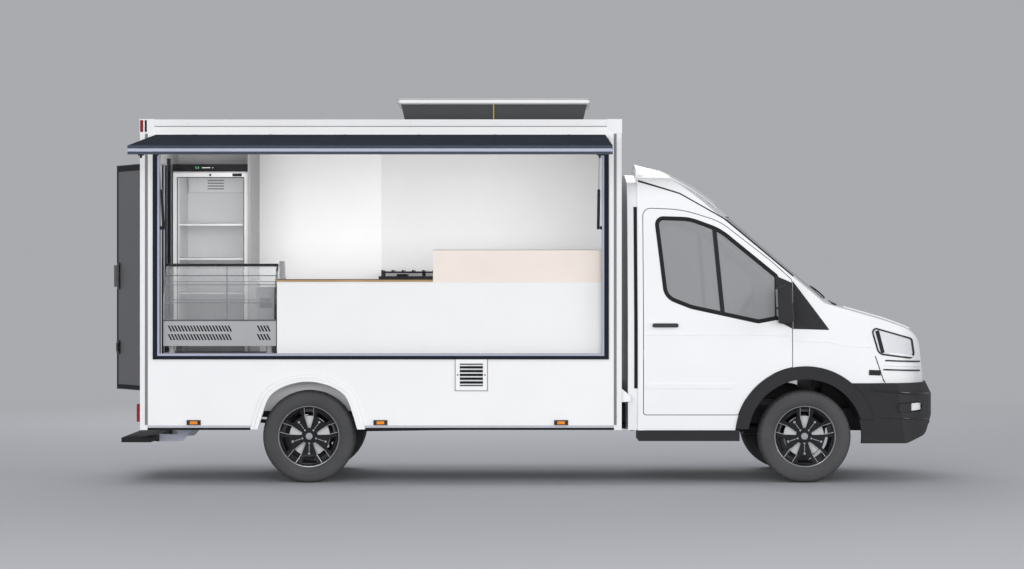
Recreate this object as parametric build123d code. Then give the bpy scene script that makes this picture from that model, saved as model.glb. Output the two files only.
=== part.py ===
"""Food truck: chassis cab with a box-shaped kitchen body, a side hatch and a rear door.

X forward, Y to the truck's left, Z up, millimetres. The origin is on the road,
on the centre plane, half way between the axles.
"""
import os
from math import atan2, cos, degrees, hypot, radians, sin

from build123d import *

# Running gear
AXLE_X = 1977
AXLE_Z = 368
WHEEL_Y = 865
KINGPIN_Y = 795
SPINDLE_R = 30
RUN_GAP = 0.3
TYRE_R = 368
TYRE_HALF_W = 117

# Ladder frame
RAIL_Y = (390, 450)
RAIL_TOP = 650
RAIL_BOTTOM = 520
CAB_RAIL_TOP = 570
CAB_RAIL_BOTTOM = 450

# Box body
BOX_X = (-3306, 511)
BOX_HALF_W = 1075
BOX_Z = (426, 2887)
WALL = 45
POST = 60
TOP_RAIL = 55
SKIRT_RAIL_TOP = 463
FLOOR_Z = (690, 740)
BEARER_BOTTOM = RAIL_TOP

# Service opening and its hatch
OPENING_X = (-3149, 355)
OPENING_Z = (1032, 2686)
FRAME_X = (-3203, 409)
FRAME_Z = (986, 2735)
FRAME_PROUD = 18
HATCH_X = (-3170, 376)
HATCH_LENGTH = 1600
HATCH_THICK = 61
HATCH_HINGE = (-BOX_HALF_W - 31, 2702)
HATCH_OPEN = 84
STRUT_X = (-3120, 326)
STRUT_FOOT = (-BOX_HALF_W + 20, 2028)
STRUT_HEAD = (45, -240)
STRUT_BODY = 330

# Rear doorway and its door
DOORWAY_Y = (-420, 260)
DOORWAY_Z = (740, 2580)
DOOR_GAP = 6
DOOR_OPEN = 32
DOOR_HINGE = (BOX_X[0] - 14, -420)

# Cab
CAB_REAR = 644
COLLAR_X = 566
COLLAR_INSET = 40
CAB_WALL = 30
CAB_FLOOR_Z = (CAB_RAIL_TOP, 605)
BOW_X = -1450
WHITE_BOTTOM = 419
BUMPER_TOP = 795
ARCH_R = 458
FLARE_R = 560
FLARE_END = 505
PANEL_GAP = 6
CAB_HINGE = (1871, 1029)
BONNET_HINGE = (2292, 1421)


def block(x, y, z):
    """Box between pairs of limits."""
    size = [limits[1] - limits[0] for limits in (x, y, z)]
    middle = [(limits[0] + limits[1]) / 2 for limits in (x, y, z)]
    return Pos(*middle) * Box(*size)


def outline(table, grow=0):
    """Face inside a closed path of (across, up, corner radius) rows."""
    face = make_face(FilletPolyline(*[row[:2] for row in table], radius=[row[2] for row in table], close=True))
    return offset(face, amount=grow) if grow else face


def side_prism(face, y):
    """Side-view face run from y[0] to y[1]."""
    return Pos(0, y[0], 0) * extrude(Plane.XZ * face, amount=y[1] - y[0], dir=(0, 1, 0))


def front_prism(face, x):
    """Front-view face run from x[0] to x[1]."""
    return Pos(x[0], 0, 0) * extrude(Plane.YZ * face, amount=x[1] - x[0])


def plan_prism(face, z):
    """Plan-view face run from z[0] to z[1]."""
    return Pos(0, 0, z[0]) * extrude(Plane.XY * face, amount=z[1] - z[0])


def bar(start, end, radius):
    """Round bar between two points."""
    start, end = Vector(*start), Vector(*end)
    plane = Plane(origin=start, z_dir=end - start)
    return extrude(plane * Circle(radius), amount=(end - start).length)


def both_sides(shape):
    return shape + mirror(shape, Plane.XZ)


def turned(shape, x, y, angle):
    """Turn about the upright line through (x, y)."""
    return Pos(x, y, 0) * Rot(0, 0, angle) * Pos(-x, -y, 0) * shape


def tipped(shape, y, z, angle):
    """Turn about the line along X through (y, z)."""
    return Pos(0, y, z) * Rot(angle, 0, 0) * Pos(0, -y, -z) * shape


def cross_cylinder(x, z, radius, y):
    """Round bar along Y."""
    return bar((x, y[0], z), (x, y[1], z), radius)


parts = {}

# Wheels, built with the axle along Z and the outer side up
RIM_SECTION = [  # radius, height
    (250, 92), (250, 82), (230, 78), (228, 52), (208, 30), (208, -52), (228, -64), (230, -80),
    (250, -84), (250, -94), (238, -94), (216, -74), (196, -50), (196, 26), (216, 62), (240, 92),
]
TYRE_SECTION = [  # radius, height, corner radius
    (230, -80, 0), (300, -TYRE_HALF_W, 70), (352, -104, 26), (TYRE_R, -70, 60),
    (TYRE_R, 70, 60), (352, 104, 26), (300, TYRE_HALF_W, 70), (230, 80, 0),
]
TYRE_HOLLOW = [
    (228, -64, 0), (240, -66, 8), (300, -98, 50), (338, -88, 26), (350, -60, 20),
    (350, 60, 20), (338, 88, 26), (300, 98, 50), (240, 66, 8), (228, 52, 0),
]
SPOKES = 5
SPOKE_FACE = [(0, 44), (60, 44), (150, 58), (236, 84), (236, 60), (150, 32), (60, 16), (0, 16)]
WINDOW = [(55, 8), (152, 36), (214, 38)]  # radius, half width
POCKET = [(160, 46), (212, 62)]


def ray_table(table):
    """Symmetric outline along +X from (radius, half width) rows."""
    return [(r, -w) for r, w in table] + [(r, w) for r, w in reversed(table)]


def make_rim():
    spokes = extrude(Circle(226), amount=100)
    for index in range(SPOKES):
        angle = 90 + index * 360 / SPOKES
        for table, turn in ((WINDOW, 0), (POCKET, 180 / SPOKES)):
            cut = extrude(make_face(Polyline(*ray_table(table), close=True)), amount=100)
            spokes -= Rot(0, 0, angle + turn) * cut
    spokes &= revolve(Plane.XZ * make_face(Polyline(*SPOKE_FACE, close=True)), Axis.Z)
    barrel = revolve(Plane.XZ * make_face(Polyline(*RIM_SECTION, close=True)), Axis.Z)
    hub = Pos(0, 0, -40) * extrude(Circle(62), amount=62)
    disc = Pos(0, 0, -30) * extrude(Circle(165), amount=18)
    bore = Pos(0, 0, -41) * extrude(Circle(SPINDLE_R + RUN_GAP), amount=66)
    cap = Pos(0, 0, 40) * extrude(Circle(33), amount=14)
    return barrel + spokes + hub + disc + cap - bore


def make_tyre():
    body = revolve(Plane.XZ * outline(TYRE_SECTION), Axis.Z)
    hollow = revolve(Plane.XZ * outline(TYRE_HOLLOW), Axis.Z)
    barrel = revolve(Plane.XZ * make_face(Polyline(*[(0, -100), *RIM_SECTION[9::-1], (0, 100)], close=True)), Axis.Z)
    return body - hollow - barrel


rim, tyre = make_rim(), make_tyre()
WHEELS = [  # name, axle position, side
    ("front_left", AXLE_X, 1),
    ("front_right", AXLE_X, -1),
    ("rear_left", -AXLE_X, 1),
    ("rear_right", -AXLE_X, -1),
]
for name, x, side in WHEELS:
    place = Pos(x, side * WHEEL_Y, AXLE_Z) * Rot(-90 * side, 0, 0)
    parts[f"rim_{name}"] = place * rim
    parts[f"tyre_{name}"] = place * tyre

# Ladder frame: two rails that drop under the cab, and the members between them
RAIL = [
    (BOX_X[0] + 46, RAIL_BOTTOM, 0), (BOX_X[0] + 46, RAIL_TOP, 0), (350, RAIL_TOP, 80),
    (600, CAB_RAIL_TOP, 80), (2880, CAB_RAIL_TOP, 0), (2880, CAB_RAIL_BOTTOM, 0),
    (600, CAB_RAIL_BOTTOM, 80), (300, RAIL_BOTTOM, 80),
]
JACK_X = (-2770, 900)
JACK_R = 28
rail = side_prism(outline(RAIL), RAIL_Y)
for x in JACK_X:
    bottom = RAIL_BOTTOM if x < 0 else CAB_RAIL_BOTTOM
    rail += Pos(x, sum(RAIL_Y) / 2, bottom - 12) * extrude(Circle(JACK_R), amount=12)
parts["frame_rails"] = both_sides(rail)

MEMBERS = [  # front and rear limits, lower and upper limits
    ((-3260, -3200), (530, 640)),
    ((-2640, -2570), (540, 630)),
    ((-1240, -1170), (540, 630)),
    ((-520, -450), (540, 630)),
    ((220, 290), (540, 630)),
    ((1120, 1190), (485, 560)),
    ((2820, 2880), (455, 565)),
]
TOW_HOLE_R = 7
TOW_SPACING = (200, 50)
TOW_EYE = (-330, 510)
members = [block(x, (-RAIL_Y[0], RAIL_Y[0]), z) for x, z in MEMBERS]
for y in (-TOW_SPACING[0] / 2, TOW_SPACING[0] / 2):
    for z in (-TOW_SPACING[1] / 2, TOW_SPACING[1] / 2):
        members[0] -= bar((-3270, y, 585 + z), (-3190, y, 585 + z), TOW_HOLE_R)
members[-1] += bar((2880, *TOW_EYE), (3060, *TOW_EYE), 24)
members[-1] -= bar((2990, *TOW_EYE), (3070, *TOW_EYE), 11)
parts["frame_members"] = Compound(members)

# Rear axle on leaf springs
axle = cross_cylinder(-AXLE_X, AXLE_Z, 46, (-822, 822)) + cross_cylinder(-AXLE_X, AXLE_Z, SPINDLE_R, (-882, 882))
axle += Pos(-AXLE_X, 0, AXLE_Z) * Sphere(140)
SPRING_REACH = 660
spring_path = ThreePointArc((-SPRING_REACH, 486), (0, 428), (SPRING_REACH, 486))
spring_top = ThreePointArc((SPRING_REACH, 514), (0, 456), (-SPRING_REACH, 514))
spring_face = make_face([
    spring_path, Line(spring_path @ 1, spring_top @ 0), spring_top, Line(spring_top @ 1, spring_path @ 0)])
spring = Pos(-AXLE_X, 0, 0) * side_prism(spring_face, RAIL_Y)
for x in (-SPRING_REACH, SPRING_REACH):
    spring += block((-AXLE_X + x - 40, -AXLE_X + x + 40), RAIL_Y, (480, RAIL_BOTTOM))
spring += block((-AXLE_X - 60, -AXLE_X + 60), RAIL_Y, (330, 450))
parts["rear_axle"] = axle + both_sides(spring)

# Front cross-member with two arms a side, and the knuckles that turn between them
ARM_X = (AXLE_X - 26, AXLE_X + 26)
LOWER_ARM_Z = (196, 226)
UPPER_ARM_Z = (512, 542)
suspension = block((AXLE_X - 70, AXLE_X + 70), (-480, 480), (LOWER_ARM_Z[0], 330))
suspension += both_sides(block((AXLE_X - 70, AXLE_X + 70), (385, 480), (LOWER_ARM_Z[0], CAB_RAIL_BOTTOM)))
for side in (-1, 1):
    tower = block((AXLE_X - 40, AXLE_X + 40), sorted((side * 460, side * 540)), (LOWER_ARM_Z[0], 560))
    arms = Part()
    for z in (LOWER_ARM_Z, UPPER_ARM_Z):
        arms += block(ARM_X, sorted((side * 480, side * KINGPIN_Y)), z)
        arms += bar((AXLE_X, side * KINGPIN_Y, z[0]), (AXLE_X, side * KINGPIN_Y, z[1]), 26)
    damper = bar((AXLE_X, side * 590, LOWER_ARM_Z[1] - 5), (AXLE_X, side * 590, UPPER_ARM_Z[0] + 5), 24)
    suspension += tower + arms + damper
parts["front_suspension"] = suspension
for name, side in (("left", 1), ("right", -1)):
    upright = block((AXLE_X - 42, AXLE_X + 42), sorted((side * 760, side * 820)), (300, 440))
    upright += bar((AXLE_X, side * KINGPIN_Y, LOWER_ARM_Z[1] + RUN_GAP),
                   (AXLE_X, side * KINGPIN_Y, UPPER_ARM_Z[0] - RUN_GAP), 24)
    upright += cross_cylinder(AXLE_X, AXLE_Z, SPINDLE_R, sorted((side * 800, side * 882)))
    parts[f"knuckle_{name}"] = upright

# Engine, gearbox and what runs back from them
engine = (block((2180, 2740), (-300, 300), (CAB_RAIL_TOP, 1040))
          + block((2180, 2700), (-250, 250), (400, CAB_RAIL_TOP))
          + block((2200, 2640), (-RAIL_Y[0], RAIL_Y[0]), (470, 550)))
shaft = bar((-1840, 0, 390), (1600, 0, 440), 36) + bar((1560, 0, 440), (2180, 0, 440), 104)
engine += shaft - axle
tank = (fillet(block((-900, -560), (460, 760), (440, 630)).edges(), 30)
        + block((-840, -620), (RAIL_Y[1], 470), (540, 600)))
EXHAUST = [(1700, -250, 400), (900, -250, 400), (-240, -560, 500), (-360, -560, 500)]
EXHAUST_R = 32
MUFFLER_X = (-1100, -300)
MUFFLER_R = 60
MUFFLER_Y, MUFFLER_Z = EXHAUST[-1][1:]
exhaust_path = FilletPolyline(*EXHAUST, radius=160)
exhaust = sweep(Plane(origin=EXHAUST[0], z_dir=(-1, 0, 0)) * Circle(EXHAUST_R), exhaust_path)
exhaust += bar((MUFFLER_X[0], MUFFLER_Y, MUFFLER_Z), (MUFFLER_X[1], MUFFLER_Y, MUFFLER_Z), MUFFLER_R)
exhaust += block((-900, -840), (MUFFLER_Y - 20, -RAIL_Y[1]), (MUFFLER_Z + 20, MUFFLER_Z + 45))
exhaust += block((1120, 1190), (EXHAUST[0][1] - 20, EXHAUST[0][1] + 20), (EXHAUST[0][2] + 10, MEMBERS[5][1][0]))
parts["drive_line"] = Compound([*engine.solids(), *tank.solids(), *exhaust.solids()])

# Cab skin: a side view spun round a far upright line, cut by a front view and a plan
CAB_SIDE = [
    (300, 100, 0), (300, 2634, 0), (1017, 2490, 1500), (2265, 1429, 150),
    (2700, 1302, 1800), (2970, 1196, 190), (3024, 650, 0), (3024, 100, 0),
]
CAB_FRONT = [
    (-985, 100, 0), (-1000, 420, 0), (-1027, 950, 1500), (-1014, 1300, 900), (-850, 2410, 230),
    (0, 2600, 3000), (850, 2410, 230), (1014, 1300, 900), (1027, 950, 1500), (1000, 420, 0), (985, 100, 0),
]
CAB_PLAN = [
    (400, -1100, 0), (1900, -1100, 0), (2390, -1040, 900), (2820, -930, 330), (2960, -680, 400), (3060, 0, 1200),
    (2960, 680, 400), (2820, 930, 330), (2390, 1040, 900), (1900, 1100, 0), (400, 1100, 0),
]
BUMPER_SIDE = [
    (1900, 314, 0), (2900, 316, 60), (3030, 380, 60), (3092, 590, 60), (3094, 660, 40), (3030, BUMPER_TOP, 0),
    (1900, BUMPER_TOP, 0),
]
BUMPER_GROW = 62


def spun(face):
    swept = revolve(Plane.XZ * face, Axis((BOW_X, 0, 0), (0, 0, 1)), 64)
    return turned(swept, BOW_X, 0, -32)


def cab_volume(inset, rear=None):
    """The space inside the cab's skin, a given depth below its surface, from a rear plane on."""
    volume = spun(outline(CAB_SIDE, -inset))
    volume &= front_prism(outline(CAB_FRONT, -inset), (CAB_REAR + inset if rear is None else rear, 3300))
    return volume & plan_prism(outline(CAB_PLAN, -inset), (50, 2700))


DOOR = [
    (690, 545, 20), (690, 2188, 60), (1000, 2176, 900), (1300, 2082, 500), (1700, 1768, 0),
    (1868, 1616, 40), (1868, 545, 0),
]
WINDOW_LINE = [
    (794, 2110, 50), (1060, 2102, 400), (1300, 2014, 500), (1748, 1644, 30), (1748, 1313, 30),
    (1600, 1285, 60), (1066, 1401, 300), (868, 1480, 120),
]
SCREEN = [(-850, 1462, 70), (-735, 2130, 90), (735, 2130, 90), (850, 1462, 70)]
BONNET = [
    (2292, -800, 30), (2600, -800, 500), (2960, -640, 120), (3060, -400, 300), (3060, 400, 300),
    (2960, 640, 120), (2600, 800, 500), (2292, 800, 30),
]
LAMP = [(2489, 1250, 30), (2844, 1150, 30), (2874, 978, 40), (2552, 1020, 60)]
FRONT_END = [
    (1874, 50, 0), (1874, 1206, 0), (2170, 1222, 0), (2280, 1440, 0), (3300, 1440, 0), (3300, 50, 0),
]
GRILLE = [(-560, 850, 40), (-520, 1015, 60), (520, 1015, 60), (560, 850, 40)]

HANDLE = [(752, 1232, 14), (752, 1276, 14), (968, 1276, 14), (968, 1232, 14)]
HANDLE_POST = 40
HANDLE_PROUD = 26
HANDLE_ROOM = 12
MOULDING = [(706, 752, 10), (706, 790, 10), (1430, 790, 10), (1410, 752, 10)]
MOULDING_PROUD = 8
GRILLE_SLOTS = (868, 902, 936, 970)
GRILLE_SLOT = (225, 20)
FOG = [(2700, 556, 30), (2690, 636, 30), (2925, 648, 40), (2915, 566, 30)]
INTAKE = [(-520, 545, 30), (-560, 640, 30), (560, 640, 30), (520, 545, 30)]
POCKET_DEPTH = 22

outer, inner = cab_volume(0), cab_volume(CAB_WALL)
skin = outer - inner
skin &= block((500, 3300), (-1200, 1200), (WHITE_BOTTOM, 2700))
arches = cross_cylinder(AXLE_X, AXLE_Z, FLARE_R + 2, (600, 1200))
arches += mirror(arches, Plane.XZ)
skin -= arches
glazing = cab_volume(4) - cab_volume(10)

lower_front = block((AXLE_X, 3300), (-1200, 1200), (0, BUMPER_TOP))
front_end = side_prism(outline(FRONT_END), (-1200, 1200))
door_space = [side_prism(outline(DOOR, PANEL_GAP), y) for y in ((500, 1200), (-1200, -500))]
door_shape = [side_prism(outline(DOOR), y) for y in ((500, 1200), (-1200, -500))]
screen_space = front_prism(outline(SCREEN), (1200, 2400))
BONNET_FRONT_Z = 1076
bonnet_space = plan_prism(outline(BONNET, PANEL_GAP), (BONNET_FRONT_Z - PANEL_GAP, 1600))
lamp_space = side_prism(outline(LAMP), (-1200, 1200)) - block((2000, 3300), (-470, 470), (0, 2000))
grille_space = front_prism(outline(GRILLE), (2900, 3300))

DOOR_STOP_Z = (1000, 1060)
stop_core = cab_volume(CAB_WALL + 40)
stops = (cab_volume(CAB_WALL + 0.4) - stop_core) & block((650, 730), (-1200, 1200), DOOR_STOP_Z)
stops += (inner - stop_core) & block((650, 682), (-1200, 1200), DOOR_STOP_Z)
collar_space = cab_volume(COLLAR_INSET + CAB_WALL, COLLAR_X + CAB_WALL)
collar = cab_volume(COLLAR_INSET, COLLAR_X) & block((COLLAR_X, CAB_REAR + 10), (-1200, 1200), (WHITE_BOTTOM, 2700))
cab_body = skin - front_end - screen_space + collar - collar_space
cab_body -= block((COLLAR_X - 10, CAB_REAR + CAB_WALL + 10), (-500, 500), (300, CAB_FLOOR_Z[1] + 5))
cab_body += stops
for space in door_space:
    cab_body -= space & skin
parts["cab_body"] = cab_body
parts["windscreen"] = glazing & screen_space

front_skin = (skin & front_end) - lower_front - bonnet_space - lamp_space
rests = (cab_volume(CAB_WALL + 0.4) - stop_core) & block((2880, 3020), (-300, 300), (1020, 1170))
rests += (inner - stop_core) & block((2880, 3020), (-300, 300), (1020, 1066))
parts["front_wings"] = front_skin - grille_space + rests
parts["grille"] = (cab_volume(8) - inner) & grille_space & block((2900, 3300), (-600, 600), (800, 1018))
for z in GRILLE_SLOTS:
    for step in (-1.5, -0.5, 0.5, 1.5):
        y = step * (GRILLE_SLOT[0] + 20)
        parts["grille"] -= block((2900, 3300), (y - GRILLE_SLOT[0] / 2, y + GRILLE_SLOT[0] / 2), (z, z + GRILLE_SLOT[1]))
parts["head_lamps"] = (outer - cab_volume(26)) & lamp_space
parts["bonnet"] = skin & plan_prism(outline(BONNET), (BONNET_FRONT_Z, 1600))

handle_out, handle_in, moulding_out = [
    front_prism(outline(CAB_FRONT, proud), (CAB_REAR, CAB_HINGE[0])) for proud in (HANDLE_PROUD, HANDLE_ROOM, MOULDING_PROUD)]
for (name, side), shape in zip((("left", 1), ("right", -1)), door_shape):
    window = side_prism(outline(WINDOW_LINE), sorted((side * 500, side * 1200)))
    round_arch = cross_cylinder(AXLE_X, AXLE_Z, FLARE_R + PANEL_GAP, sorted((side * 500, side * 1200)))
    half = sorted((side * 500, side * 1200))
    grip = side_prism(outline(HANDLE), half)
    posts = grip - block((HANDLE[0][0] + HANDLE_POST, HANDLE[2][0] - HANDLE_POST), half, (HANDLE[0][1] - 1, HANDLE[1][1] + 1))
    fittings = (handle_out - handle_in) & grip
    fittings += (handle_out - inner) & posts
    fittings += (moulding_out - inner) & side_prism(outline(MOULDING), half)
    parts[f"cab_door_{name}"] = ((outer - inner) & shape) - window - round_arch + fittings
    parts[f"door_glass_{name}"] = glazing & window

flare = (cab_volume(-16) - cab_volume(CAB_WALL)) & (
    cross_cylinder(AXLE_X, AXLE_Z, FLARE_R, (600, 1200)) - cross_cylinder(AXLE_X, AXLE_Z, ARCH_R, (600, 1200)))
flare &= block((1000, 3000), (600, 1200), (430, 1200)) - block((AXLE_X, 3000), (600, 1200), (400, FLARE_END + 2))
cladding = [*both_sides(flare).solids()]
liner = (cross_cylinder(AXLE_X, AXLE_Z, ARCH_R + 12, (560, 1200))
         - cross_cylinder(AXLE_X, AXLE_Z, ARCH_R + 2, (560, 1200))) & inner
liner &= block((1000, 3000), (560, 1200), (CAB_RAIL_BOTTOM, 1200)) - block((AXLE_X, 3000), (560, 1200), (400, FLARE_END + 2))
cladding += both_sides(liner).solids()
sill = (cab_volume(-8) - cab_volume(CAB_WALL)) & block((CAB_REAR + 6, 1452), (500, 1200), (334, WHITE_BOTTOM))
parts["cab_cladding"] = Compound([*cladding, *both_sides(sill).solids()])



def bumper_volume(inset):
    volume = spun(outline(BUMPER_SIDE, -inset)) & front_prism(outline(CAB_FRONT, 6 - inset), (2000, 3300))
    return volume & plan_prism(outline(CAB_PLAN, BUMPER_GROW - inset), (200, 900))


bumper = bumper_volume(0)
pockets = side_prism(outline(FOG), (-1200, 1200)) - block((2000, 3300), (-640, 640), (0, 1000))
pockets += front_prism(outline(INTAKE), (2900, 3300))
bumper -= pockets - bumper_volume(POCKET_DEPTH)
bumper -= cab_volume(46)
bumper -= cross_cylinder(AXLE_X, AXLE_Z, ARCH_R - 12, (-1200, 1200))
bumper -= cross_cylinder(AXLE_X, AXLE_Z, FLARE_R + 2, (-1200, 1200)) & block((1000, 3300), (-1200, 1200), (FLARE_END, 1200))
bumper -= bar((2900, *TOW_EYE), (3300, *TOW_EYE), 28)
parts["front_bumper"] = bumper & block((AXLE_X, 3300), (-1200, 1200), (200, BUMPER_TOP))

floor = block((640, 1440), (-1200, 1200), CAB_FLOOR_Z) + block((1430, 2100), (-530, 530), CAB_FLOOR_Z)
floor += block((2070, 2100), (-530, 530), (CAB_FLOOR_Z[0], 1500)) + block((2070, 2100), (-1200, 1200), (850, 1500))
parts["cab_floor"] = floor & (inner + collar_space)

DASH = [(1800, 1180, 60), (1800, 1370, 90), (2000, 1440, 60), (2070, 1440, 0), (2070, 1000, 0), (1960, 1000, 80)]
dash = side_prism(outline(DASH), (-900, 900))
WHEEL_CENTRE = (1590, 430, 1330)
WHEEL_TILT = 28
WHEEL_R = 190
ring = Pos(*WHEEL_CENTRE) * Rot(0, -90 + WHEEL_TILT, 0) * (Torus(WHEEL_R, 15) + extrude(Circle(60), amount=24, both=True))
for angle in (0, 120, 240):
    spoke = Rot(0, 0, angle) * Pos(WHEEL_R / 2, 0, 0) * Box(WHEEL_R, 34, 16)
    ring += Pos(*WHEEL_CENTRE) * Rot(0, -90 + WHEEL_TILT, 0) * spoke
column_end = (WHEEL_CENTRE[0] + 260 * cos(radians(WHEEL_TILT)), 430, WHEEL_CENTRE[2] - 260 * sin(radians(WHEEL_TILT)))
parts["dashboard"] = dash + bar(WHEEL_CENTRE, column_end, 38) + ring

MIRROR = [(1742, 1262, 30), (1730, 1560, 40), (1835, 1585, 40), (1866, 1290, 20)]
MIRROR_Y = (1060, 1250)
MIRROR_ROUND = 18
for name, side in (("left", 1), ("right", -1)):
    head = side_prism(outline(MIRROR), sorted((side * MIRROR_Y[0], side * MIRROR_Y[1])))
    head = fillet(head.faces().filter_by(Axis.Y).edges(), MIRROR_ROUND)
    arm = block((1760, 1830), sorted((side * 960, side * (MIRROR_Y[0] + 20))), (1290, 1340))
    arm -= front_prism(outline(CAB_FRONT), (1700, 1900))
    parts[f"mirror_{name}"] = head + arm

# Box body shell
inside_y = BOX_HALF_W - WALL
through_wall = (inside_y - 130, BOX_HALF_W + 125)
through_right = (-through_wall[1], -through_wall[0])
arch_outer = [(-456, 400, 0), (-420, 690, 130), (-300, 868, 130), (300, 868, 130), (420, 690, 130), (456, 400, 0)]
arch_inner = [(-389, 400, 0), (-360, 660, 120), (-262, 806, 110), (262, 806, 110), (360, 660, 120), (389, 400, 0)]


def at_rear_axle(table):
    return [(x - AXLE_X, z, r) for x, z, r in table]


panel_x = (BOX_X[0] + POST, BOX_X[1] - POST)
panel_z = (SKIRT_RAIL_TOP, BOX_Z[1] - TOP_RAIL)
panel = block(panel_x, (inside_y, BOX_HALF_W), panel_z)
panel -= side_prism(outline(at_rear_axle(arch_inner)), through_wall)
parts["box_wall_left"] = panel
VENT_X = (-805, -555)
VENT_Z = (740, 986)
VENT_HOLE = 33
right_panel = mirror(panel, Plane.XZ)
right_panel -= block((OPENING_X[0] - 20, OPENING_X[1] + 20), through_right, (OPENING_Z[0] - 20, OPENING_Z[1] + 20))
right_panel -= block((VENT_X[0] + VENT_HOLE, VENT_X[1] - VENT_HOLE), through_right,
                     (VENT_Z[0] + VENT_HOLE, VENT_Z[1] - VENT_HOLE))
parts["box_wall_right"] = right_panel

end_y = (-inside_y, inside_y)
rear_wall = block((BOX_X[0], BOX_X[0] + WALL), end_y, (BOX_Z[0], panel_z[1]))
rear_wall -= block((-3400, -3200), DOORWAY_Y, (700, DOORWAY_Z[1]))
rear_wall -= block((-3400, -3200), (-470, 470), (400, RAIL_TOP + 10))
HINGE_KNUCKLES = ((716, 744), (2546, 2574))
for z in HINGE_KNUCKLES:
    leaf = bar((*DOOR_HINGE, z[0]), (*DOOR_HINGE, z[1]), 12)
    leaf += block((DOOR_HINGE[0], BOX_X[0]), (DOOR_HINGE[1] - 60, DOOR_HINGE[1] - 6), z)
    rear_wall += leaf - bar((*DOOR_HINGE, z[0] - 1), (*DOOR_HINGE, z[1] + 1), 7 + RUN_GAP)
parts["box_wall_rear"] = rear_wall
LEDGE = [(BOX_X[1], 645, 0), (586, 650, 0), (586, 690, 0), (BOX_X[1], 755, 0)]
parts["box_wall_front"] = (block((BOX_X[1] - WALL, BOX_X[1]), end_y, (RAIL_TOP, panel_z[1]))
                           + both_sides(side_prism(outline(LEDGE), (inside_y - 45, inside_y))))
parts["box_roof"] = block((BOX_X[0] + POST, BOX_X[1] - POST), (-BOX_HALF_W + TOP_RAIL, BOX_HALF_W - TOP_RAIL),
                          (BOX_Z[1] - TOP_RAIL, BOX_Z[1] - 2))

post = block((BOX_X[0], BOX_X[0] + POST), (inside_y, BOX_HALF_W), (BOX_Z[0], panel_z[1]))
posts = both_sides(post) + both_sides(Pos(BOX_X[1] - BOX_X[0] - POST, 0, 0) * post)
parts["corner_posts"] = posts
top = (panel_z[1], BOX_Z[1])
CORNER_LEG = 113
rails = both_sides(block((BOX_X[0] + POST, BOX_X[1] - POST), (BOX_HALF_W - TOP_RAIL, BOX_HALF_W), top))
for x in ((BOX_X[0], BOX_X[0] + POST), (BOX_X[1] - POST, BOX_X[1])):
    rails += block(x, (-BOX_HALF_W, BOX_HALF_W), top)
parts["roof_rails"] = rails
skirt = block(panel_x, (inside_y, BOX_HALF_W), (BOX_Z[0], SKIRT_RAIL_TOP))
skirt -= side_prism(outline(at_rear_axle(arch_outer)), through_wall)
parts["skirt_rails"] = both_sides(skirt)

# Floor on cross bearers, with wheel boxes over the rear wheels
WHEEL_BOX_X = (-AXLE_X - 420, -AXLE_X + 420)
WHEEL_BOX_Y = 690
WHEEL_BOX_TOP = 850
BEARERS = (-3200, -2560, -1300, -700, -100, 400)
floor_x = (BOX_X[0] + WALL, BOX_X[1] - WALL)
deck = block(floor_x, (-inside_y, inside_y), FLOOR_Z)
for x in BEARERS:
    deck += block((x - 30, x + 30), (-inside_y, inside_y), (BEARER_BOTTOM, FLOOR_Z[0]))
cut = block(WHEEL_BOX_X, (WHEEL_BOX_Y, BOX_HALF_W), (600, 800))
deck -= both_sides(cut)
tub = block(WHEEL_BOX_X, (WHEEL_BOX_Y, inside_y), (FLOOR_Z[0], WHEEL_BOX_TOP))
tub -= block((WHEEL_BOX_X[0] + 10, WHEEL_BOX_X[1] - 10), (WHEEL_BOX_Y + 10, BOX_HALF_W), (600, WHEEL_BOX_TOP - 10))
parts["box_floor"] = deck
flare = side_prism(outline(at_rear_axle(arch_outer)), (BOX_HALF_W, BOX_HALF_W + 26))
flare -= side_prism(outline(at_rear_axle(arch_inner)), (BOX_HALF_W - 5, BOX_HALF_W + 40))
flare &= block((-AXLE_X - 1000, -AXLE_X + 1000), through_wall, (430, 1000))
parts["rear_arches"] = Compound([*both_sides(tub).solids(), *both_sides(flare).solids()])

# Frame of the service opening, with the hatch's bearings and the struts' foot pins
frame_hole = block(OPENING_X, through_right, OPENING_Z)
frame = block(FRAME_X, (-BOX_HALF_W - FRAME_PROUD, -BOX_HALF_W), FRAME_Z)
frame += block((OPENING_X[0] - 20, OPENING_X[1] + 20), (-BOX_HALF_W, -inside_y + 8),
               (OPENING_Z[0] - 20, OPENING_Z[1] + 20))
frame -= frame_hole
HINGE_PIN_R = 8
for x in ((FRAME_X[0] + 2, HATCH_X[0] - 5), (HATCH_X[1] + 5, FRAME_X[1] - 2)):
    y, z = HATCH_HINGE
    ear = bar((x[0], y, z), (x[1], y, z), 16) + block(x, (y, -BOX_HALF_W - 4), (z - 16, z + 16))
    frame += ear
    frame -= bar((x[0] - 9, y, z), (x[1] + 9, y, z), HINGE_PIN_R + RUN_GAP)
FOOT_PIN_R = 6
EYE_HALF = 8
for x, jamb in zip(STRUT_X, OPENING_X):
    inward = 1 if x > jamb else -1
    frame += bar((jamb, *STRUT_FOOT), (x + inward * (EYE_HALF + 4), *STRUT_FOOT), FOOT_PIN_R)
    frame += bar((jamb, *STRUT_FOOT), (x - inward * 14, *STRUT_FOOT), 14)
parts["hatch_frame"] = frame

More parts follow.
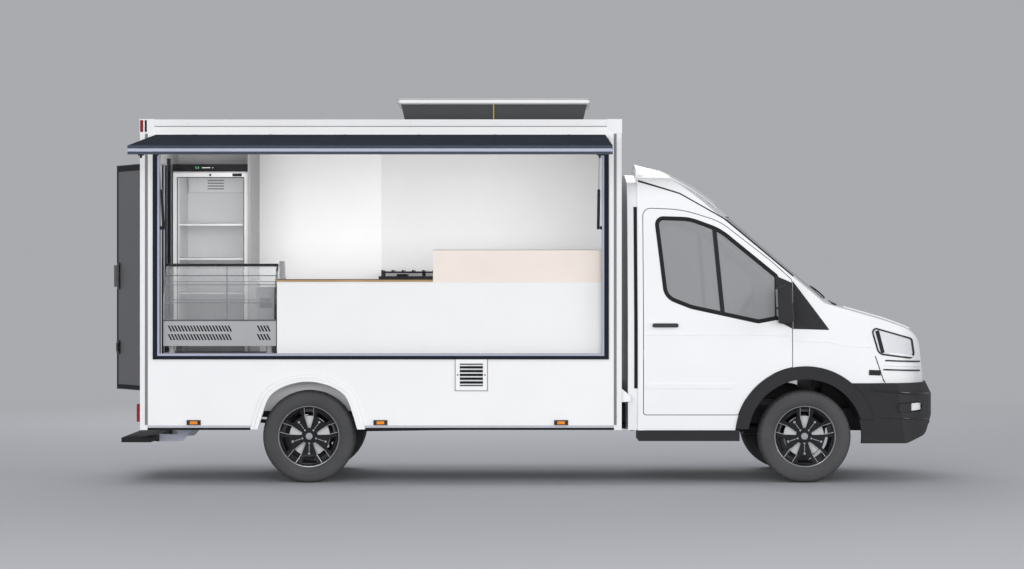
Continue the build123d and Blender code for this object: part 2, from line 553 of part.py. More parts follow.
# Hatch, built shut and then turned up to where it stands
hatch_y, hatch_z = HATCH_HINGE
hatch = block(HATCH_X, (hatch_y - HATCH_THICK, hatch_y), (hatch_z - 10 - HATCH_LENGTH, hatch_z - 10))
hatch += block(HATCH_X, (hatch_y - 12, hatch_y + 2), (hatch_z - 12, hatch_z))
hatch += bar((FRAME_X[0] + 4, hatch_y, hatch_z), (FRAME_X[1] - 4, hatch_y, hatch_z), HINGE_PIN_R)
for x, jamb in zip(STRUT_X, OPENING_X):
    beside = x - 16 if jamb < x else x + 10
    hatch += block((beside, beside + 6), (hatch_y, hatch_y + STRUT_HEAD[0] + 14),
                   (hatch_z + STRUT_HEAD[1] - 30, hatch_z + STRUT_HEAD[1] + 30))
parts["hatch"] = tipped(hatch, hatch_y, hatch_z, -HATCH_OPEN)

# Gas struts in the line they take with the hatch up
tip = radians(-HATCH_OPEN)
head_y = hatch_y + STRUT_HEAD[0] * cos(tip) - STRUT_HEAD[1] * sin(tip)
head_z = hatch_z + STRUT_HEAD[0] * sin(tip) + STRUT_HEAD[1] * cos(tip)
strut_reach = hypot(head_y - STRUT_FOOT[0], head_z - STRUT_FOOT[1])
strut_lean = degrees(atan2(STRUT_FOOT[0] - head_y, head_z - STRUT_FOOT[1]))
foot_y, foot_z = STRUT_FOOT
cylinders, rods = [], []
for x in STRUT_X:
    eye = bar((x - EYE_HALF, foot_y, foot_z), (x + EYE_HALF, foot_y, foot_z), 14)
    tube = eye + bar((x, foot_y, foot_z + 8), (x, foot_y, foot_z + STRUT_BODY), 12)
    tube -= bar((x - 20, foot_y, foot_z), (x + 20, foot_y, foot_z), FOOT_PIN_R + RUN_GAP)
    tube -= bar((x, foot_y, foot_z + 60), (x, foot_y, foot_z + STRUT_BODY + 1), 5 + RUN_GAP)
    rod = bar((x, foot_y, foot_z + STRUT_BODY - 30), (x, foot_y, foot_z + strut_reach), 5)
    rod += bar((x - EYE_HALF, foot_y, foot_z + strut_reach), (x + EYE_HALF, foot_y, foot_z + strut_reach), 12)
    cylinders.append(tipped(tube, foot_y, foot_z, strut_lean))
    rods.append(tipped(rod, foot_y, foot_z, strut_lean))
parts["strut_cylinders"] = Compound(cylinders)
parts["strut_rods"] = Compound(rods)

# Rear door, built shut and then turned out to where it stands
door = block((BOX_X[0], BOX_X[0] + WALL), (DOORWAY_Y[0] + DOOR_GAP, DOORWAY_Y[1] - DOOR_GAP),
             (700 + DOOR_GAP, DOORWAY_Z[1] - DOOR_GAP))
leaf_z = (HINGE_KNUCKLES[0][1] + 2, HINGE_KNUCKLES[1][0] - 2)
pin_z = (HINGE_KNUCKLES[0][0] + 2, HINGE_KNUCKLES[1][1] - 2)
door += bar((*DOOR_HINGE, leaf_z[0]), (*DOOR_HINGE, leaf_z[1]), 11)
door += bar((*DOOR_HINGE, pin_z[0]), (*DOOR_HINGE, pin_z[1]), 7)
door += block((BOX_X[0] - 18, BOX_X[0]), (DOOR_HINGE[1], DOORWAY_Y[0] + 70), leaf_z)
door += block((BOX_X[0] - 40, BOX_X[0]), (DOORWAY_Y[1] - 60, DOORWAY_Y[1] - 30), (1560, 1740))
parts["rear_door"] = turned(door, *DOOR_HINGE, DOOR_OPEN)

# Fittings outside the box
grid = block(VENT_X, (-BOX_HALF_W - 14, -BOX_HALF_W), VENT_Z)
grid -= block((VENT_X[0] + VENT_HOLE, VENT_X[1] - VENT_HOLE), through_right,
              (VENT_Z[0] + VENT_HOLE, VENT_Z[1] - VENT_HOLE))
SLATS = 6
pitch = (VENT_Z[1] - VENT_Z[0] - 2 * VENT_HOLE) / SLATS
for index in range(SLATS):
    z = VENT_Z[0] + VENT_HOLE + pitch * (index + 0.5)
    slat = Box(VENT_X[1] - VENT_X[0] - 2 * VENT_HOLE + 8, 13, 4)
    grid += Pos(sum(VENT_X) / 2, -BOX_HALF_W - 7, z) * Rot(35, 0, 0) * slat
parts["vent_grille"] = grid

VENT_LID = ((-1291, 280), (-400, 400), (3055, 3096))
collar_foot = block((-1240, 229), (-360, 360), (BOX_Z[1] - 2, BOX_Z[1] + 20))
collar = loft([
    Pos(-505.5, 0, BOX_Z[1] + 20) * Rectangle(1453, 700),
    Pos(-505.5, 0, VENT_LID[2][0]) * Rectangle(1520, 760),
])
parts["roof_vent"] = collar_foot + collar + fillet(block(*VENT_LID).edges().filter_by(Axis.Z), 30)

MARKER_X = (-2879, -1400, 31)
MARKER_Z = (466, 505)
markers = Part()
for x in MARKER_X:
    markers += both_sides(block((x - 55, x + 55), (BOX_HALF_W, BOX_HALF_W + 16), MARKER_Z))
tail = block((BOX_X[0] - 28, BOX_X[0]), (BOX_HALF_W - 155, BOX_HALF_W - 15), (490, 630))
parts["body_lamps"] = Compound([*markers.solids(), *both_sides(tail).solids()])

STEP_X = (-3471, -3235)
STEP_Z = (321, 358)
tread = block(STEP_X, (-950, 950), STEP_Z)
ARM = [(-3400, STEP_Z[0], 0), (-3250, STEP_Z[0] - 22, 30), (-3050, STEP_Z[0] - 22, 30), (-2860, RAIL_BOTTOM, 0),
       (-2960, RAIL_BOTTOM, 0), (-3090, STEP_Z[1], 0), (-3240, STEP_Z[1], 0), (-3240, STEP_Z[0], 0)]
arms = both_sides(side_prism(outline(ARM), (400, 440)))
parts["rear_step"] = tread + arms

# Kitchen
deck_top = FLOOR_Z[1]
COUNTER_X = (-2226, 466)
COUNTER_Y = (-BOX_HALF_W + 65, -420)
WORKTOP_Z = (1593, 1618)
counter = block(COUNTER_X, COUNTER_Y, (deck_top, WORKTOP_Z[0]))
counter -= block((WHEEL_BOX_X[0] - 10, WHEEL_BOX_X[1] + 2), (-BOX_HALF_W, -WHEEL_BOX_Y + 2), (700, WHEEL_BOX_TOP + 2))
RAISED_X = (-986, 466)
counter += block((COUNTER_X[0], RAISED_X[0]), (COUNTER_Y[0] - 12, COUNTER_Y[1] + 20), WORKTOP_Z)
counter += block(RAISED_X, COUNTER_Y, (WORKTOP_Z[0], 1853))
COUNTER_BAYS = [  # front and rear limits, lower and upper limits
    ((-2196, -910), (890, 1563)),
    ((-880, 436), (780, 1563)),
    ((-956, 436), (1650, 1823)),
]
for x, z in COUNTER_BAYS:
    counter -= block(x, (COUNTER_Y[0] + 30, COUNTER_Y[1] + 100), z)
parts["counter"] = counter
TAP = (COUNTER_X[0] + 36, COUNTER_Y[0] + 80)
TAP_TOP = 1766
tap = bar((*TAP, WORKTOP_Z[1]), (*TAP, WORKTOP_Z[1] + 14), 30) + bar((*TAP, WORKTOP_Z[1] + 14), (*TAP, TAP_TOP), 23)
spout_path = FilletPolyline((*TAP, TAP_TOP - 40), (TAP[0], TAP[1] + 70, TAP_TOP - 10), (TAP[0], TAP[1] + 150, TAP_TOP - 10),
                            (TAP[0], TAP[1] + 165, TAP_TOP - 60), radius=18)
parts["tap"] = tap + sweep(Plane(origin=spout_path @ 0, z_dir=spout_path % 0) * Circle(11), spout_path)
CASE_X = (-3131, -2234)
CASE_Y = (-BOX_HALF_W + 75, -400)
plinth = block(CASE_X, (CASE_Y[0] + 10, CASE_Y[1] - 10), (deck_top, 1034))
plinth -= block((WHEEL_BOX_X[0] - 10, CASE_X[1] + 10), (-BOX_HALF_W, -WHEEL_BOX_Y + 2), (700, WHEEL_BOX_TOP + 2))
case_base = block(CASE_X, CASE_Y, (1090, 1292))
for x in (CASE_X[0] + 60, CASE_X[1] - 60):
    for y in (CASE_Y[0] + 60, CASE_Y[1] - 60):
        case_base += bar((x, y, 1034), (x, y, 1090), 22)
case_base -= block((CASE_X[0] + 20, CASE_X[1] - 20), (CASE_Y[0] + 20, CASE_Y[1] + 100), (1110, 1272))
plinth -= block((CASE_X[0] + 25, CASE_X[1] - 25), (CASE_Y[0] + 35, CASE_Y[1] + 100), (880, 1009))
parts["case_base"] = case_base + plinth
CASE_GLASS = [(CASE_Y[0] + 4, 1292, 0), (CASE_Y[0] + 4, 1500, 200), (CASE_Y[0] + 210, 1739, 160), (CASE_Y[1], 1739, 0),
              (CASE_Y[1], 1292, 0)]
glass = front_prism(outline(CASE_GLASS), CASE_X)
glass -= front_prism(outline(CASE_GLASS, -6), (CASE_X[0] + 6, CASE_X[1] - 6))
glass -= block((CASE_X[0] + 6, CASE_X[1] - 6), (CASE_Y[0] + 10, CASE_Y[1] - 6), (1280, 1300))
for z, back in ((1440, 40), (1580, 100)):
    glass += block((CASE_X[0] + 6, CASE_X[1] - 6), (CASE_Y[0] + back, CASE_Y[1] - 6), (z, z + 8))
parts["case_glass"] = glass

FRIDGE_X = (-3209, -2577)
FRIDGE_Y = (250, BOX_HALF_W - 75)
FRIDGE_Z = (deck_top, 2591)
fridge = block(FRIDGE_X, FRIDGE_Y, FRIDGE_Z)
fridge -= block((FRIDGE_X[0] + 45, FRIDGE_X[1] - 45), (200, FRIDGE_Y[1] - 60), (FRIDGE_Z[0] + 170, FRIDGE_Z[1] - 76))
fridge -= block((FRIDGE_X[0] - 1, FRIDGE_X[1] + 1), (200, 308), (FRIDGE_Z[0] + 160, FRIDGE_Z[1] - 66))
for z in (1208, 1497, 1786, 2075):
    fridge += block((FRIDGE_X[0] + 45, FRIDGE_X[1] - 45), (320, FRIDGE_Y[1] - 60), (z, z + 16))
FRIDGE_PIN = (FRIDGE_X[0] + 20, 272)
pin_limits = (FRIDGE_Z[0] + 140, FRIDGE_Z[1] - 46)
fridge -= bar((*FRIDGE_PIN, pin_limits[0] - 1), (*FRIDGE_PIN, pin_limits[1] + 1), 6 + RUN_GAP)
parts["fridge"] = fridge
fridge_door = block(FRIDGE_X, (250, 294), (FRIDGE_Z[0] + 165, FRIDGE_Z[1] - 71))
DOOR_RAIL = 40
window_x = (FRIDGE_X[0] + DOOR_RAIL, FRIDGE_X[1] - DOOR_RAIL)
window_z = (FRIDGE_Z[0] + 165 + DOOR_RAIL, FRIDGE_Z[1] - 71 - DOOR_RAIL)
fridge_door -= block(window_x, (200, 400), window_z)
fridge_door += bar((*FRIDGE_PIN, pin_limits[0]), (*FRIDGE_PIN, pin_limits[1]), 6)
parts["fridge_door"] = fridge_door
parts["fridge_glass"] = block(window_x, (266, 278), window_z)
partition = block((-2575, -2554), (180, inside_y), (deck_top, panel_z[1]))
RANGE_X = (-1486, -740)
RANGE_Y = (380, BOX_HALF_W - 75)
cooker = block(RANGE_X, RANGE_Y, (deck_top + 60, 1650))
for x in (RANGE_X[0] + 60, RANGE_X[1] - 60):
    for y in (RANGE_Y[0] + 60, RANGE_Y[1] - 60):
        cooker += bar((x, y, deck_top), (x, y, deck_top + 60), 20)
cooker -= block((RANGE_X[0] + 30, RANGE_X[1] - 30), (RANGE_Y[0] + 30, RANGE_Y[1] + 100), (deck_top + 90, 1620))
GRATE_TOP = 1702
GRATE_BAR = 12
grate_x, grate_y = (RANGE_X[0] + 20, RANGE_X[1] - 20), (RANGE_Y[0] + 30, RANGE_Y[1] - 30)
for step in range(3):
    y = grate_y[0] + step * (grate_y[1] - grate_y[0] - GRATE_BAR) / 2
    cooker += block(grate_x, (y, y + GRATE_BAR), (GRATE_TOP - 2 * GRATE_BAR, GRATE_TOP - GRATE_BAR))
    for x in (grate_x[0], sum(grate_x) / 2 - GRATE_BAR / 2, grate_x[1] - GRATE_BAR):
        cooker += block((x, x + GRATE_BAR), (y, y + GRATE_BAR), (1650, GRATE_TOP - GRATE_BAR))
GRATE_BARS = 9
for step in range(GRATE_BARS):
    x = grate_x[0] + step * (grate_x[1] - grate_x[0] - GRATE_BAR) / (GRATE_BARS - 1)
    cooker += block((x, x + GRATE_BAR), grate_y, (GRATE_TOP - GRATE_BAR, GRATE_TOP))
for x in (RANGE_X[0] + 190, RANGE_X[1] - 190):
    for y in (RANGE_Y[0] + 165, RANGE_Y[1] - 165):
        cooker += bar((x, y, 1650), (x, y, 1668), 46)
KNOBS = 5
for step in range(KNOBS):
    x = RANGE_X[0] + (step + 1) * (RANGE_X[1] - RANGE_X[0]) / (KNOBS + 1)
    cooker += bar((x, RANGE_Y[0] - 28, 1585), (x, RANGE_Y[0], 1585), 20)
parts["cooking_range"] = cooker
splashback = block((-1492, floor_x[1]), (inside_y - 6, inside_y), (1500, panel_z[1] - 20))
parts["wall_linings"] = Compound([partition, splashback])

os.makedirs("parts", exist_ok=True)
for name, shape in parts.items():
    export_step(Compound(shape) if isinstance(shape, list) else shape, f"parts/{name}.step")
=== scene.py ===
"""Looks of the food truck: materials, trim and studio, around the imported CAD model."""
import math

import bmesh
import bpy
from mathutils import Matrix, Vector
from mathutils.bvhtree import BVHTree


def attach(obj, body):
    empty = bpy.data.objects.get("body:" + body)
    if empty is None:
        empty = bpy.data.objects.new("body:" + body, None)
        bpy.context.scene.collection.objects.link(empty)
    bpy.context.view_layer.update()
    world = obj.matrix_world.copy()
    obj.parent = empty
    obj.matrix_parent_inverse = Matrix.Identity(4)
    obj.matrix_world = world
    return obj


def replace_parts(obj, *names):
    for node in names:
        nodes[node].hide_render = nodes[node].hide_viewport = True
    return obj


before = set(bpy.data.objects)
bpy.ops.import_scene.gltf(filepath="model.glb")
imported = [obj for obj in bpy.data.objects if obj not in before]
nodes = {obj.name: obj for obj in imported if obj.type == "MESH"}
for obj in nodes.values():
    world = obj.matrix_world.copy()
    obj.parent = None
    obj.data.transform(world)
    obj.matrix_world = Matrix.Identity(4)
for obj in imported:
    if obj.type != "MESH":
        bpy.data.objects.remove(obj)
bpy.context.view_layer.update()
scene = bpy.context.scene

METRE = 1000  # sizes below are in millimetres, angles in degrees
SIDES = (("left", 1), ("right", -1))

# Sizes repeated from the CAD source
AXLE_X, AXLE_Z, WHEEL_Y = 1977, 368, 865
BOX_X, BOX_Y = (-3306, 511), 1075
OPENING_X, OPENING_LOW = (-3149, 355), 1032
FRAME_X = (-3203, 409)
HATCH_X, HATCH_LENGTH, HATCH_THICK = (-3170, 376), 1600, 61
HATCH_HINGE, HATCH_OPEN, HATCH_TOP_GAP = (-1106, 2702), 84, 10
DOOR_HINGE, DOOR_OPEN = (-3320, -420), 32
WINDOW_LINE = [
    (794, 2110, 50), (1060, 2102, 400), (1300, 2014, 500), (1748, 1644, 30), (1748, 1313, 30),
    (1600, 1285, 60), (1066, 1401, 300), (868, 1480, 120),
]

# Materials
M = {}


def tree_of(name):
    mat = bpy.data.materials.new(name)
    mat.use_nodes = True
    tree = mat.node_tree
    return mat, tree, tree.nodes["Principled BSDF"]


def noise(tree, scale, detail=2.0):
    """Value of a noise that stays with the part."""
    place = tree.nodes.new("ShaderNodeTexCoord")
    cloud = tree.nodes.new("ShaderNodeTexNoise")
    cloud.inputs["Scale"].default_value = scale
    cloud.inputs["Detail"].default_value = detail
    tree.links.new(place.outputs["Object"], cloud.inputs["Vector"])
    return cloud.outputs["Fac"]


def vary_roughness(tree, shader, value, low, high):
    level = tree.nodes.new("ShaderNodeMapRange")
    level.inputs["To Min"].default_value = low
    level.inputs["To Max"].default_value = high
    tree.links.new(value, level.inputs["Value"])
    tree.links.new(level.outputs["Result"], shader.inputs["Roughness"])


def finish(name, colour, rough, metal=0.0, coat=0.0, grain=None, mottle=0.0, spread=0.04, **sockets):
    """Surface with fine colour and roughness variation; grain is (scale, depth)."""
    mat, tree, shader = tree_of(name)
    cloud = noise(tree, 3.0, 6.0)
    ramp = tree.nodes.new("ShaderNodeValToRGB")
    low, high = ramp.color_ramp.elements
    low.color = (*(c * (1 - mottle) for c in colour), 1)
    high.color = (*colour, 1)
    low.position, high.position = 0.35, 0.65
    tree.links.new(cloud, ramp.inputs["Fac"])
    tree.links.new(ramp.outputs["Color"], shader.inputs["Base Color"])
    vary_roughness(tree, shader, cloud, max(rough - spread, 0.02), min(rough + spread, 1))
    shader.inputs["Metallic"].default_value = metal
    shader.inputs["Coat Weight"].default_value = coat
    shader.inputs["Coat Roughness"].default_value = 0.06
    for socket, value in sockets.items():
        shader.inputs[socket.replace("_", " ")].default_value = value
    if grain:
        scale, depth = grain
        bump = tree.nodes.new("ShaderNodeBump")
        bump.inputs["Strength"].default_value = 0.4
        bump.inputs["Distance"].default_value = depth / METRE
        tree.links.new(noise(tree, scale, 3.0), bump.inputs["Height"])
        tree.links.new(bump.outputs["Normal"], shader.inputs["Normal"])
    M[name] = mat


def glass(name, colour, cover):
    """Thin pane; cover is how far it hides what lies behind."""
    mat, tree, shader = tree_of(name)
    shader.inputs["Base Color"].default_value = (*colour, 1)
    shader.inputs["Alpha"].default_value = cover
    vary_roughness(tree, shader, noise(tree, 4.0), 0.02, 0.05)
    M[name] = mat


def zoned(name, axis, limit, colour, above=True):
    """Give a look another colour past a limit along one axis of the resting part."""
    tree = M[name].node_tree
    base = tree.nodes["Principled BSDF"].inputs["Base Color"]
    place = tree.nodes.new("ShaderNodeTexCoord")
    split = tree.nodes.new("ShaderNodeSeparateXYZ")
    tree.links.new(place.outputs["Object"], split.inputs["Vector"])
    test = tree.nodes.new("ShaderNodeMath")
    test.operation = "GREATER_THAN" if above else "LESS_THAN"
    test.inputs[1].default_value = limit / METRE
    tree.links.new(split.outputs["XYZ".index(axis)], test.inputs[0])
    mix = tree.nodes.new("ShaderNodeMix")
    mix.data_type = "RGBA"
    tree.links.new(test.outputs["Value"], mix.inputs["Factor"])
    tree.links.new(base.links[0].from_socket, mix.inputs["A"])
    mix.inputs["B"].default_value = (*colour, 1)
    tree.links.new(mix.outputs["Result"], base)


finish("cab_paint", (0.86, 0.865, 0.87), 0.32, coat=0.25, mottle=0.015, grain=(900, 0.02))
finish("panel_white", (0.87, 0.87, 0.87), 0.38, coat=0.15, mottle=0.02, grain=(260, 0.12))
finish("rail_white", (0.82, 0.82, 0.83), 0.33, coat=0.2, mottle=0.02, grain=(500, 0.05))
finish("rail_grey", (0.25, 0.25, 0.255), 0.4, metal=0.3, mottle=0.05, grain=(500, 0.05))
finish("black_plastic", (0.024, 0.024, 0.026), 0.55, mottle=0.1, grain=(1400, 0.25))
finish("black_rubber", (0.012, 0.012, 0.013), 0.7, mottle=0.2, grain=(700, 0.2))
finish("handle_grey", (0.045, 0.046, 0.05), 0.5, mottle=0.1, grain=(1200, 0.1))
finish("black_gloss", (0.012, 0.012, 0.014), 0.18, coat=0.4, mottle=0.1)
finish("frame_black", (0.022, 0.022, 0.024), 0.5, mottle=0.3, grain=(200, 0.3))
finish("tyre", (0.075, 0.075, 0.077), 0.62, mottle=0.25, spread=0.1, grain=(300, 0.35))
finish("alloy_black", (0.014, 0.014, 0.016), 0.24, metal=0.4, coat=0.3, mottle=0.15)
finish("machined", (0.72, 0.73, 0.75), 0.22, metal=0.9, mottle=0.06, grain=(1500, 0.03))
finish("disc_steel", (0.80, 0.80, 0.81), 0.42, metal=0.1, mottle=0.1, grain=(900, 0.05))
finish("steel", (0.52, 0.53, 0.55), 0.32, metal=0.7, mottle=0.08, grain=(600, 0.04))
finish("chrome", (0.78, 0.78, 0.8), 0.1, metal=1.0, mottle=0.03)
finish("mirror", (0.42, 0.43, 0.45), 0.06, metal=1.0, mottle=0.03)
finish("navy", (0.010, 0.012, 0.024), 0.35, metal=0.3, mottle=0.15, grain=(800, 0.05))
# Lavender is painted highlight: the lit band of the navy and slate metal profiles
finish("painted_highlight_lavender", (0.44, 0.47, 0.58), 0.4, metal=0.2, mottle=0.04, grain=(800, 0.04))
finish("slate", (0.075, 0.09, 0.12), 0.36, metal=0.5, mottle=0.1, grain=(800, 0.04))
finish("hatch_panel", (0.80, 0.82, 0.85), 0.36, coat=0.15, mottle=0.02, grain=(260, 0.1))
finish("hatch_slate", (0.055, 0.064, 0.082), 0.95, mottle=0.12, grain=(500, 0.1), Specular_IOR_Level=0.0)
finish("door_grey", (0.145, 0.145, 0.15), 0.42, mottle=0.06, grain=(300, 0.15))
finish("floor_grey", (0.30, 0.30, 0.31), 0.6, mottle=0.15, grain=(120, 0.6))
finish("counter", (0.87, 0.87, 0.865), 0.35, coat=0.1, mottle=0.015, grain=(350, 0.05))
finish("peach", (0.88, 0.79, 0.72), 0.42, mottle=0.03, grain=(300, 0.08))
finish("oak", (0.52, 0.34, 0.17), 0.5, mottle=0.25, grain=(140, 0.3))
finish("lining", (0.76, 0.76, 0.765), 0.4, coat=0.1, mottle=0.02, grain=(400, 0.05))
finish("strut_black", (0.01, 0.01, 0.011), 0.25, coat=0.3, mottle=0.1)
finish("cooker", (0.025, 0.025, 0.027), 0.35, metal=0.2, mottle=0.2, grain=(500, 0.1))
finish("fridge", (0.84, 0.84, 0.845), 0.4, mottle=0.03, grain=(600, 0.03))
finish("case_grey", (0.46, 0.465, 0.475), 0.4, metal=0.2, mottle=0.04, grain=(600, 0.04))
finish("edge_grey", (0.13, 0.13, 0.135), 0.4, metal=0.2, mottle=0.08, grain=(600, 0.04))
finish("unit_grey", (0.28, 0.28, 0.285), 0.5, mottle=0.06, grain=(500, 0.1))
finish("stay_yellow", (0.58, 0.46, 0.07), 0.4, metal=0.3, mottle=0.1)
finish("green_light", (0.10, 0.42, 0.16), 0.3, mottle=0.1)
finish("lamp_clear", (0.78, 0.79, 0.81), 0.08, coat=0.6, mottle=0.12)
finish("lamp_white", (0.86, 0.87, 0.88), 0.15, coat=0.5, mottle=0.05)
finish("amber", (0.85, 0.26, 0.01), 0.15, coat=0.5, mottle=0.12, grain=(300, 0.3))
finish("red", (0.22, 0.004, 0.008), 0.25, coat=0.2, mottle=0.15, grain=(250, 0.3))
finish("dash", (0.03, 0.031, 0.034), 0.65, mottle=0.1, grain=(900, 0.4))
finish("lamps", (0.02, 0.02, 0.021), 0.3, coat=0.3, mottle=0.1)
finish("vent", (0.86, 0.86, 0.86), 0.4, mottle=0.03, grain=(300, 0.1))
finish("step", (0.012, 0.012, 0.012), 0.6, mottle=0.2, grain=(250, 0.4))
finish("skirt", (0.60, 0.61, 0.66), 0.35, metal=0.3, mottle=0.04)
glass("glass", (0.80, 0.82, 0.84), 0.10)
glass("side_glass", (0.40, 0.405, 0.415), 0.52)
glass("screen_glass", (0.30, 0.31, 0.32), 0.62)

zoned("cooker", "Z", 1652, (0.012, 0.012, 0.012))
zoned("lining", "X", -2000, (0.30, 0.30, 0.305), False)
zoned("lining", "X", -2650, (0.86, 0.86, 0.86), False)
zoned("lamps", "X", -3302, (0.24, 0.004, 0.008), False)
zoned("vent", "Z", 3054, (0.055, 0.056, 0.058), False)
zoned("step", "X", -3234, (0.56, 0.58, 0.68))
zoned("skirt", "Z", 444, (0.012, 0.012, 0.014), False)

NODE_LOOKS = {
    "cab_paint": "cab_body front_wings bonnet cab_door_left cab_door_right",
    "panel_white": "box_wall_left box_wall_right box_wall_front box_wall_rear box_roof rear_arches vent_grille",
    "rail_white": "corner_posts roof_rails",
    "skirt": "skirt_rails",
    "black_plastic": "mirror_left mirror_right grille front_bumper cab_cladding cab_floor",
    "dash": "dashboard",
    "frame_black": "frame_rails frame_members front_suspension rear_axle drive_line knuckle_left knuckle_right",
    "glass": "case_glass fridge_glass",
    "side_glass": "door_glass_left door_glass_right",
    "screen_glass": "windscreen",
    "lamp_clear": "head_lamps",
    "floor_grey": "box_floor",
    "navy": "hatch_frame",
    "hatch_panel": "hatch",
    "strut_black": "strut_cylinders",
    "chrome": "strut_rods tap",
    "door_grey": "rear_door",
    "vent": "roof_vent",
    "lamps": "body_lamps",
    "step": "rear_step",
    "counter": "counter",
    "case_grey": "case_base",
    "fridge": "fridge fridge_door",
    "lining": "wall_linings",
    "cooker": "cooking_range",
    "alloy_black": "rim_front_left rim_front_right rim_rear_left rim_rear_right",
    "tyre": "tyre_front_left tyre_front_right tyre_rear_left tyre_rear_right",
}
for look, names in NODE_LOOKS.items():
    for name in names.split():
        for slot in nodes[name].material_slots:
            slot.material = M[look]

# Mesh helpers
BEVEL_FROM = math.radians(30)  # edges sharper than this are rounded
TIP = 0.01  # radius that stands for the middle of a turned shape


def hang(name, mesh, look, body):
    """Piece made from a mesh that rides with a body."""
    mesh.materials.append(M[look])
    piece = bpy.data.objects.new(name, mesh)
    scene.collection.objects.link(piece)
    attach(piece, body)
    return piece


def keep(name, bm, look, body, smooth=40, bevel=0.0):
    """Piece made from a bmesh in millimetres."""
    if bevel:
        sharp = [e for e in bm.edges if len(e.link_faces) == 2 and e.calc_face_angle(0) > BEVEL_FROM]
        bmesh.ops.bevel(
            bm, geom=sharp, offset=bevel, segments=2, profile=0.6, affect="EDGES", clamp_overlap=True)
    bmesh.ops.recalc_face_normals(bm, faces=bm.faces)
    for vertex in bm.verts:
        vertex.co /= METRE
    mesh = bpy.data.meshes.new(name)
    bm.to_mesh(mesh)
    bm.free()
    mesh.shade_smooth()
    mesh.set_sharp_from_angle(angle=math.radians(smooth))
    return hang(name, mesh, look, body)


def add_box(bm, x, y, z):
    corners = [bm.verts.new((a, b, c)) for a in x for b in y for c in z]
    for face in ((0, 1, 3, 2), (4, 6, 7, 5), (0, 4, 5, 1), (2, 3, 7, 6), (0, 2, 6, 4), (1, 5, 7, 3)):
        bm.faces.new([corners[i] for i in face])


def slabs(name, look, body, boxes, bevel, move=None):
    """Piece of (x, y, z) boxes, each a pair of limits per axis; move takes a point to its place."""
    bm = bmesh.new()
    for x, y, z in boxes:
        add_box(bm, x, y, z)
    if move:
        for vertex in bm.verts:
            vertex.co = move(vertex.co)
    keep(name, bm, look, body, bevel=bevel)


def turned(u, v, angle):
    c, s = math.cos(math.radians(angle)), math.sin(math.radians(angle))
    return u * c - v * s, u * s + v * c


def rounded(table, steps):
    """Closed path through (a, b, corner radius) rows, corners turned into arcs."""
    path = []
    count = len(table)
    for index, (a, b, radius) in enumerate(table):
        here = Vector((a, b))
        before = (Vector(table[index - 1][:2]) - here).normalized()
        after = (Vector(table[(index + 1) % count][:2]) - here).normalized()
        angle = before.angle(after)
        if radius <= 0 or angle > math.radians(179):
            path.append(here)
            continue
        reach = radius / math.tan(angle / 2)
        centre = here + (before + after).normalized() * radius / math.sin(angle / 2)
        start, end = here + before * reach - centre, here + after * reach - centre
        sweep = start.angle_signed(end)
        for step in range(steps + 1):
            turn = -sweep * step / steps
            c, s = math.cos(turn), math.sin(turn)
            path.append(centre + Vector((start.x * c - start.y * s, start.x * s + start.y * c)))
    return path


def along(points, step=40):
    """Divide a 2-D path into short runs."""
    out = [Vector(points[0])]
    for a, b in zip(points, points[1:]):
        a, b = Vector(a), Vector(b)
        parts = max(1, int((b - a).length / step))
        out += [a.lerp(b, k / parts) for k in range(1, parts + 1)]
    return out


def loop(table, steps, step):
    """Closed path with rounded corners, divided into short runs."""
    path = rounded(table, steps)
    return along(path + path[:1], step)[:-1]


def bridge(bm, a, b):
    """Faces between two closed rings of vertices."""
    count = len(a)
    for k in range(count):
        bm.faces.new((a[k], b[k], b[(k + 1) % count], a[(k + 1) % count]))


def add_prism(bm, path, place, low, high):
    """Closed 2-D path run from low to high; place(a, b, h) gives the point."""
    bottom, top = [[bm.verts.new(place(p[0], p[1], h)) for p in path] for h in (low, high)]
    bm.faces.new(bottom[::-1])
    bm.faces.new(top)
    count = len(path)
    for i in range(count):
        bm.faces.new((bottom[i], bottom[(i + 1) % count], top[(i + 1) % count], top[i]))


def add_wedge(bm, corners, base, place):
    """Four-sided block from a base height to the height of each (u, v, h) corner."""
    low = [bm.verts.new(place(u, v, base)) for u, v, _ in corners]
    high = [bm.verts.new(place(*corner)) for corner in corners]
    bm.faces.new(high)
    bm.faces.new(low[::-1])
    for i in range(4):
        bm.faces.new((low[i], low[(i + 1) % 4], high[(i + 1) % 4], high[i]))


def add_spun(bm, profile_at, place, steps):
    """Closed (radius, height) profile, given for each step round; place(u, v, h) gives the point."""
    rings = []
    for index in range(steps):
        turn = 2 * math.pi * index / steps
        c, s = math.cos(turn), math.sin(turn)
        rings.append([bm.verts.new(place(r * c, r * s, h)) for r, h in profile_at(index)])
    for index in range(steps):
        bridge(bm, rings[index], rings[(index + 1) % steps])


def add_lathe(bm, profile, place, steps):
    add_spun(bm, lambda index: profile, place, steps)


def tube(name, look, body, path, radius):
    curve = bpy.data.curves.new(name, "CURVE")
    curve.dimensions = "3D"
    curve.bevel_depth = radius / METRE
    curve.bevel_resolution = 4
    curve.use_fill_caps = True
    spline = curve.splines.new("POLY")
    spline.points.add(len(path) - 1)
    for point, place in zip(spline.points, path):
        point.co = (*(c / METRE for c in place), 1)
    holder = bpy.data.objects.new(name + "_path", curve)
    mesh = bpy.data.meshes.new_from_object(holder)
    bpy.data.objects.remove(holder)
    mesh.name = name
    mesh.shade_smooth()
    hang(name, mesh, look, body)


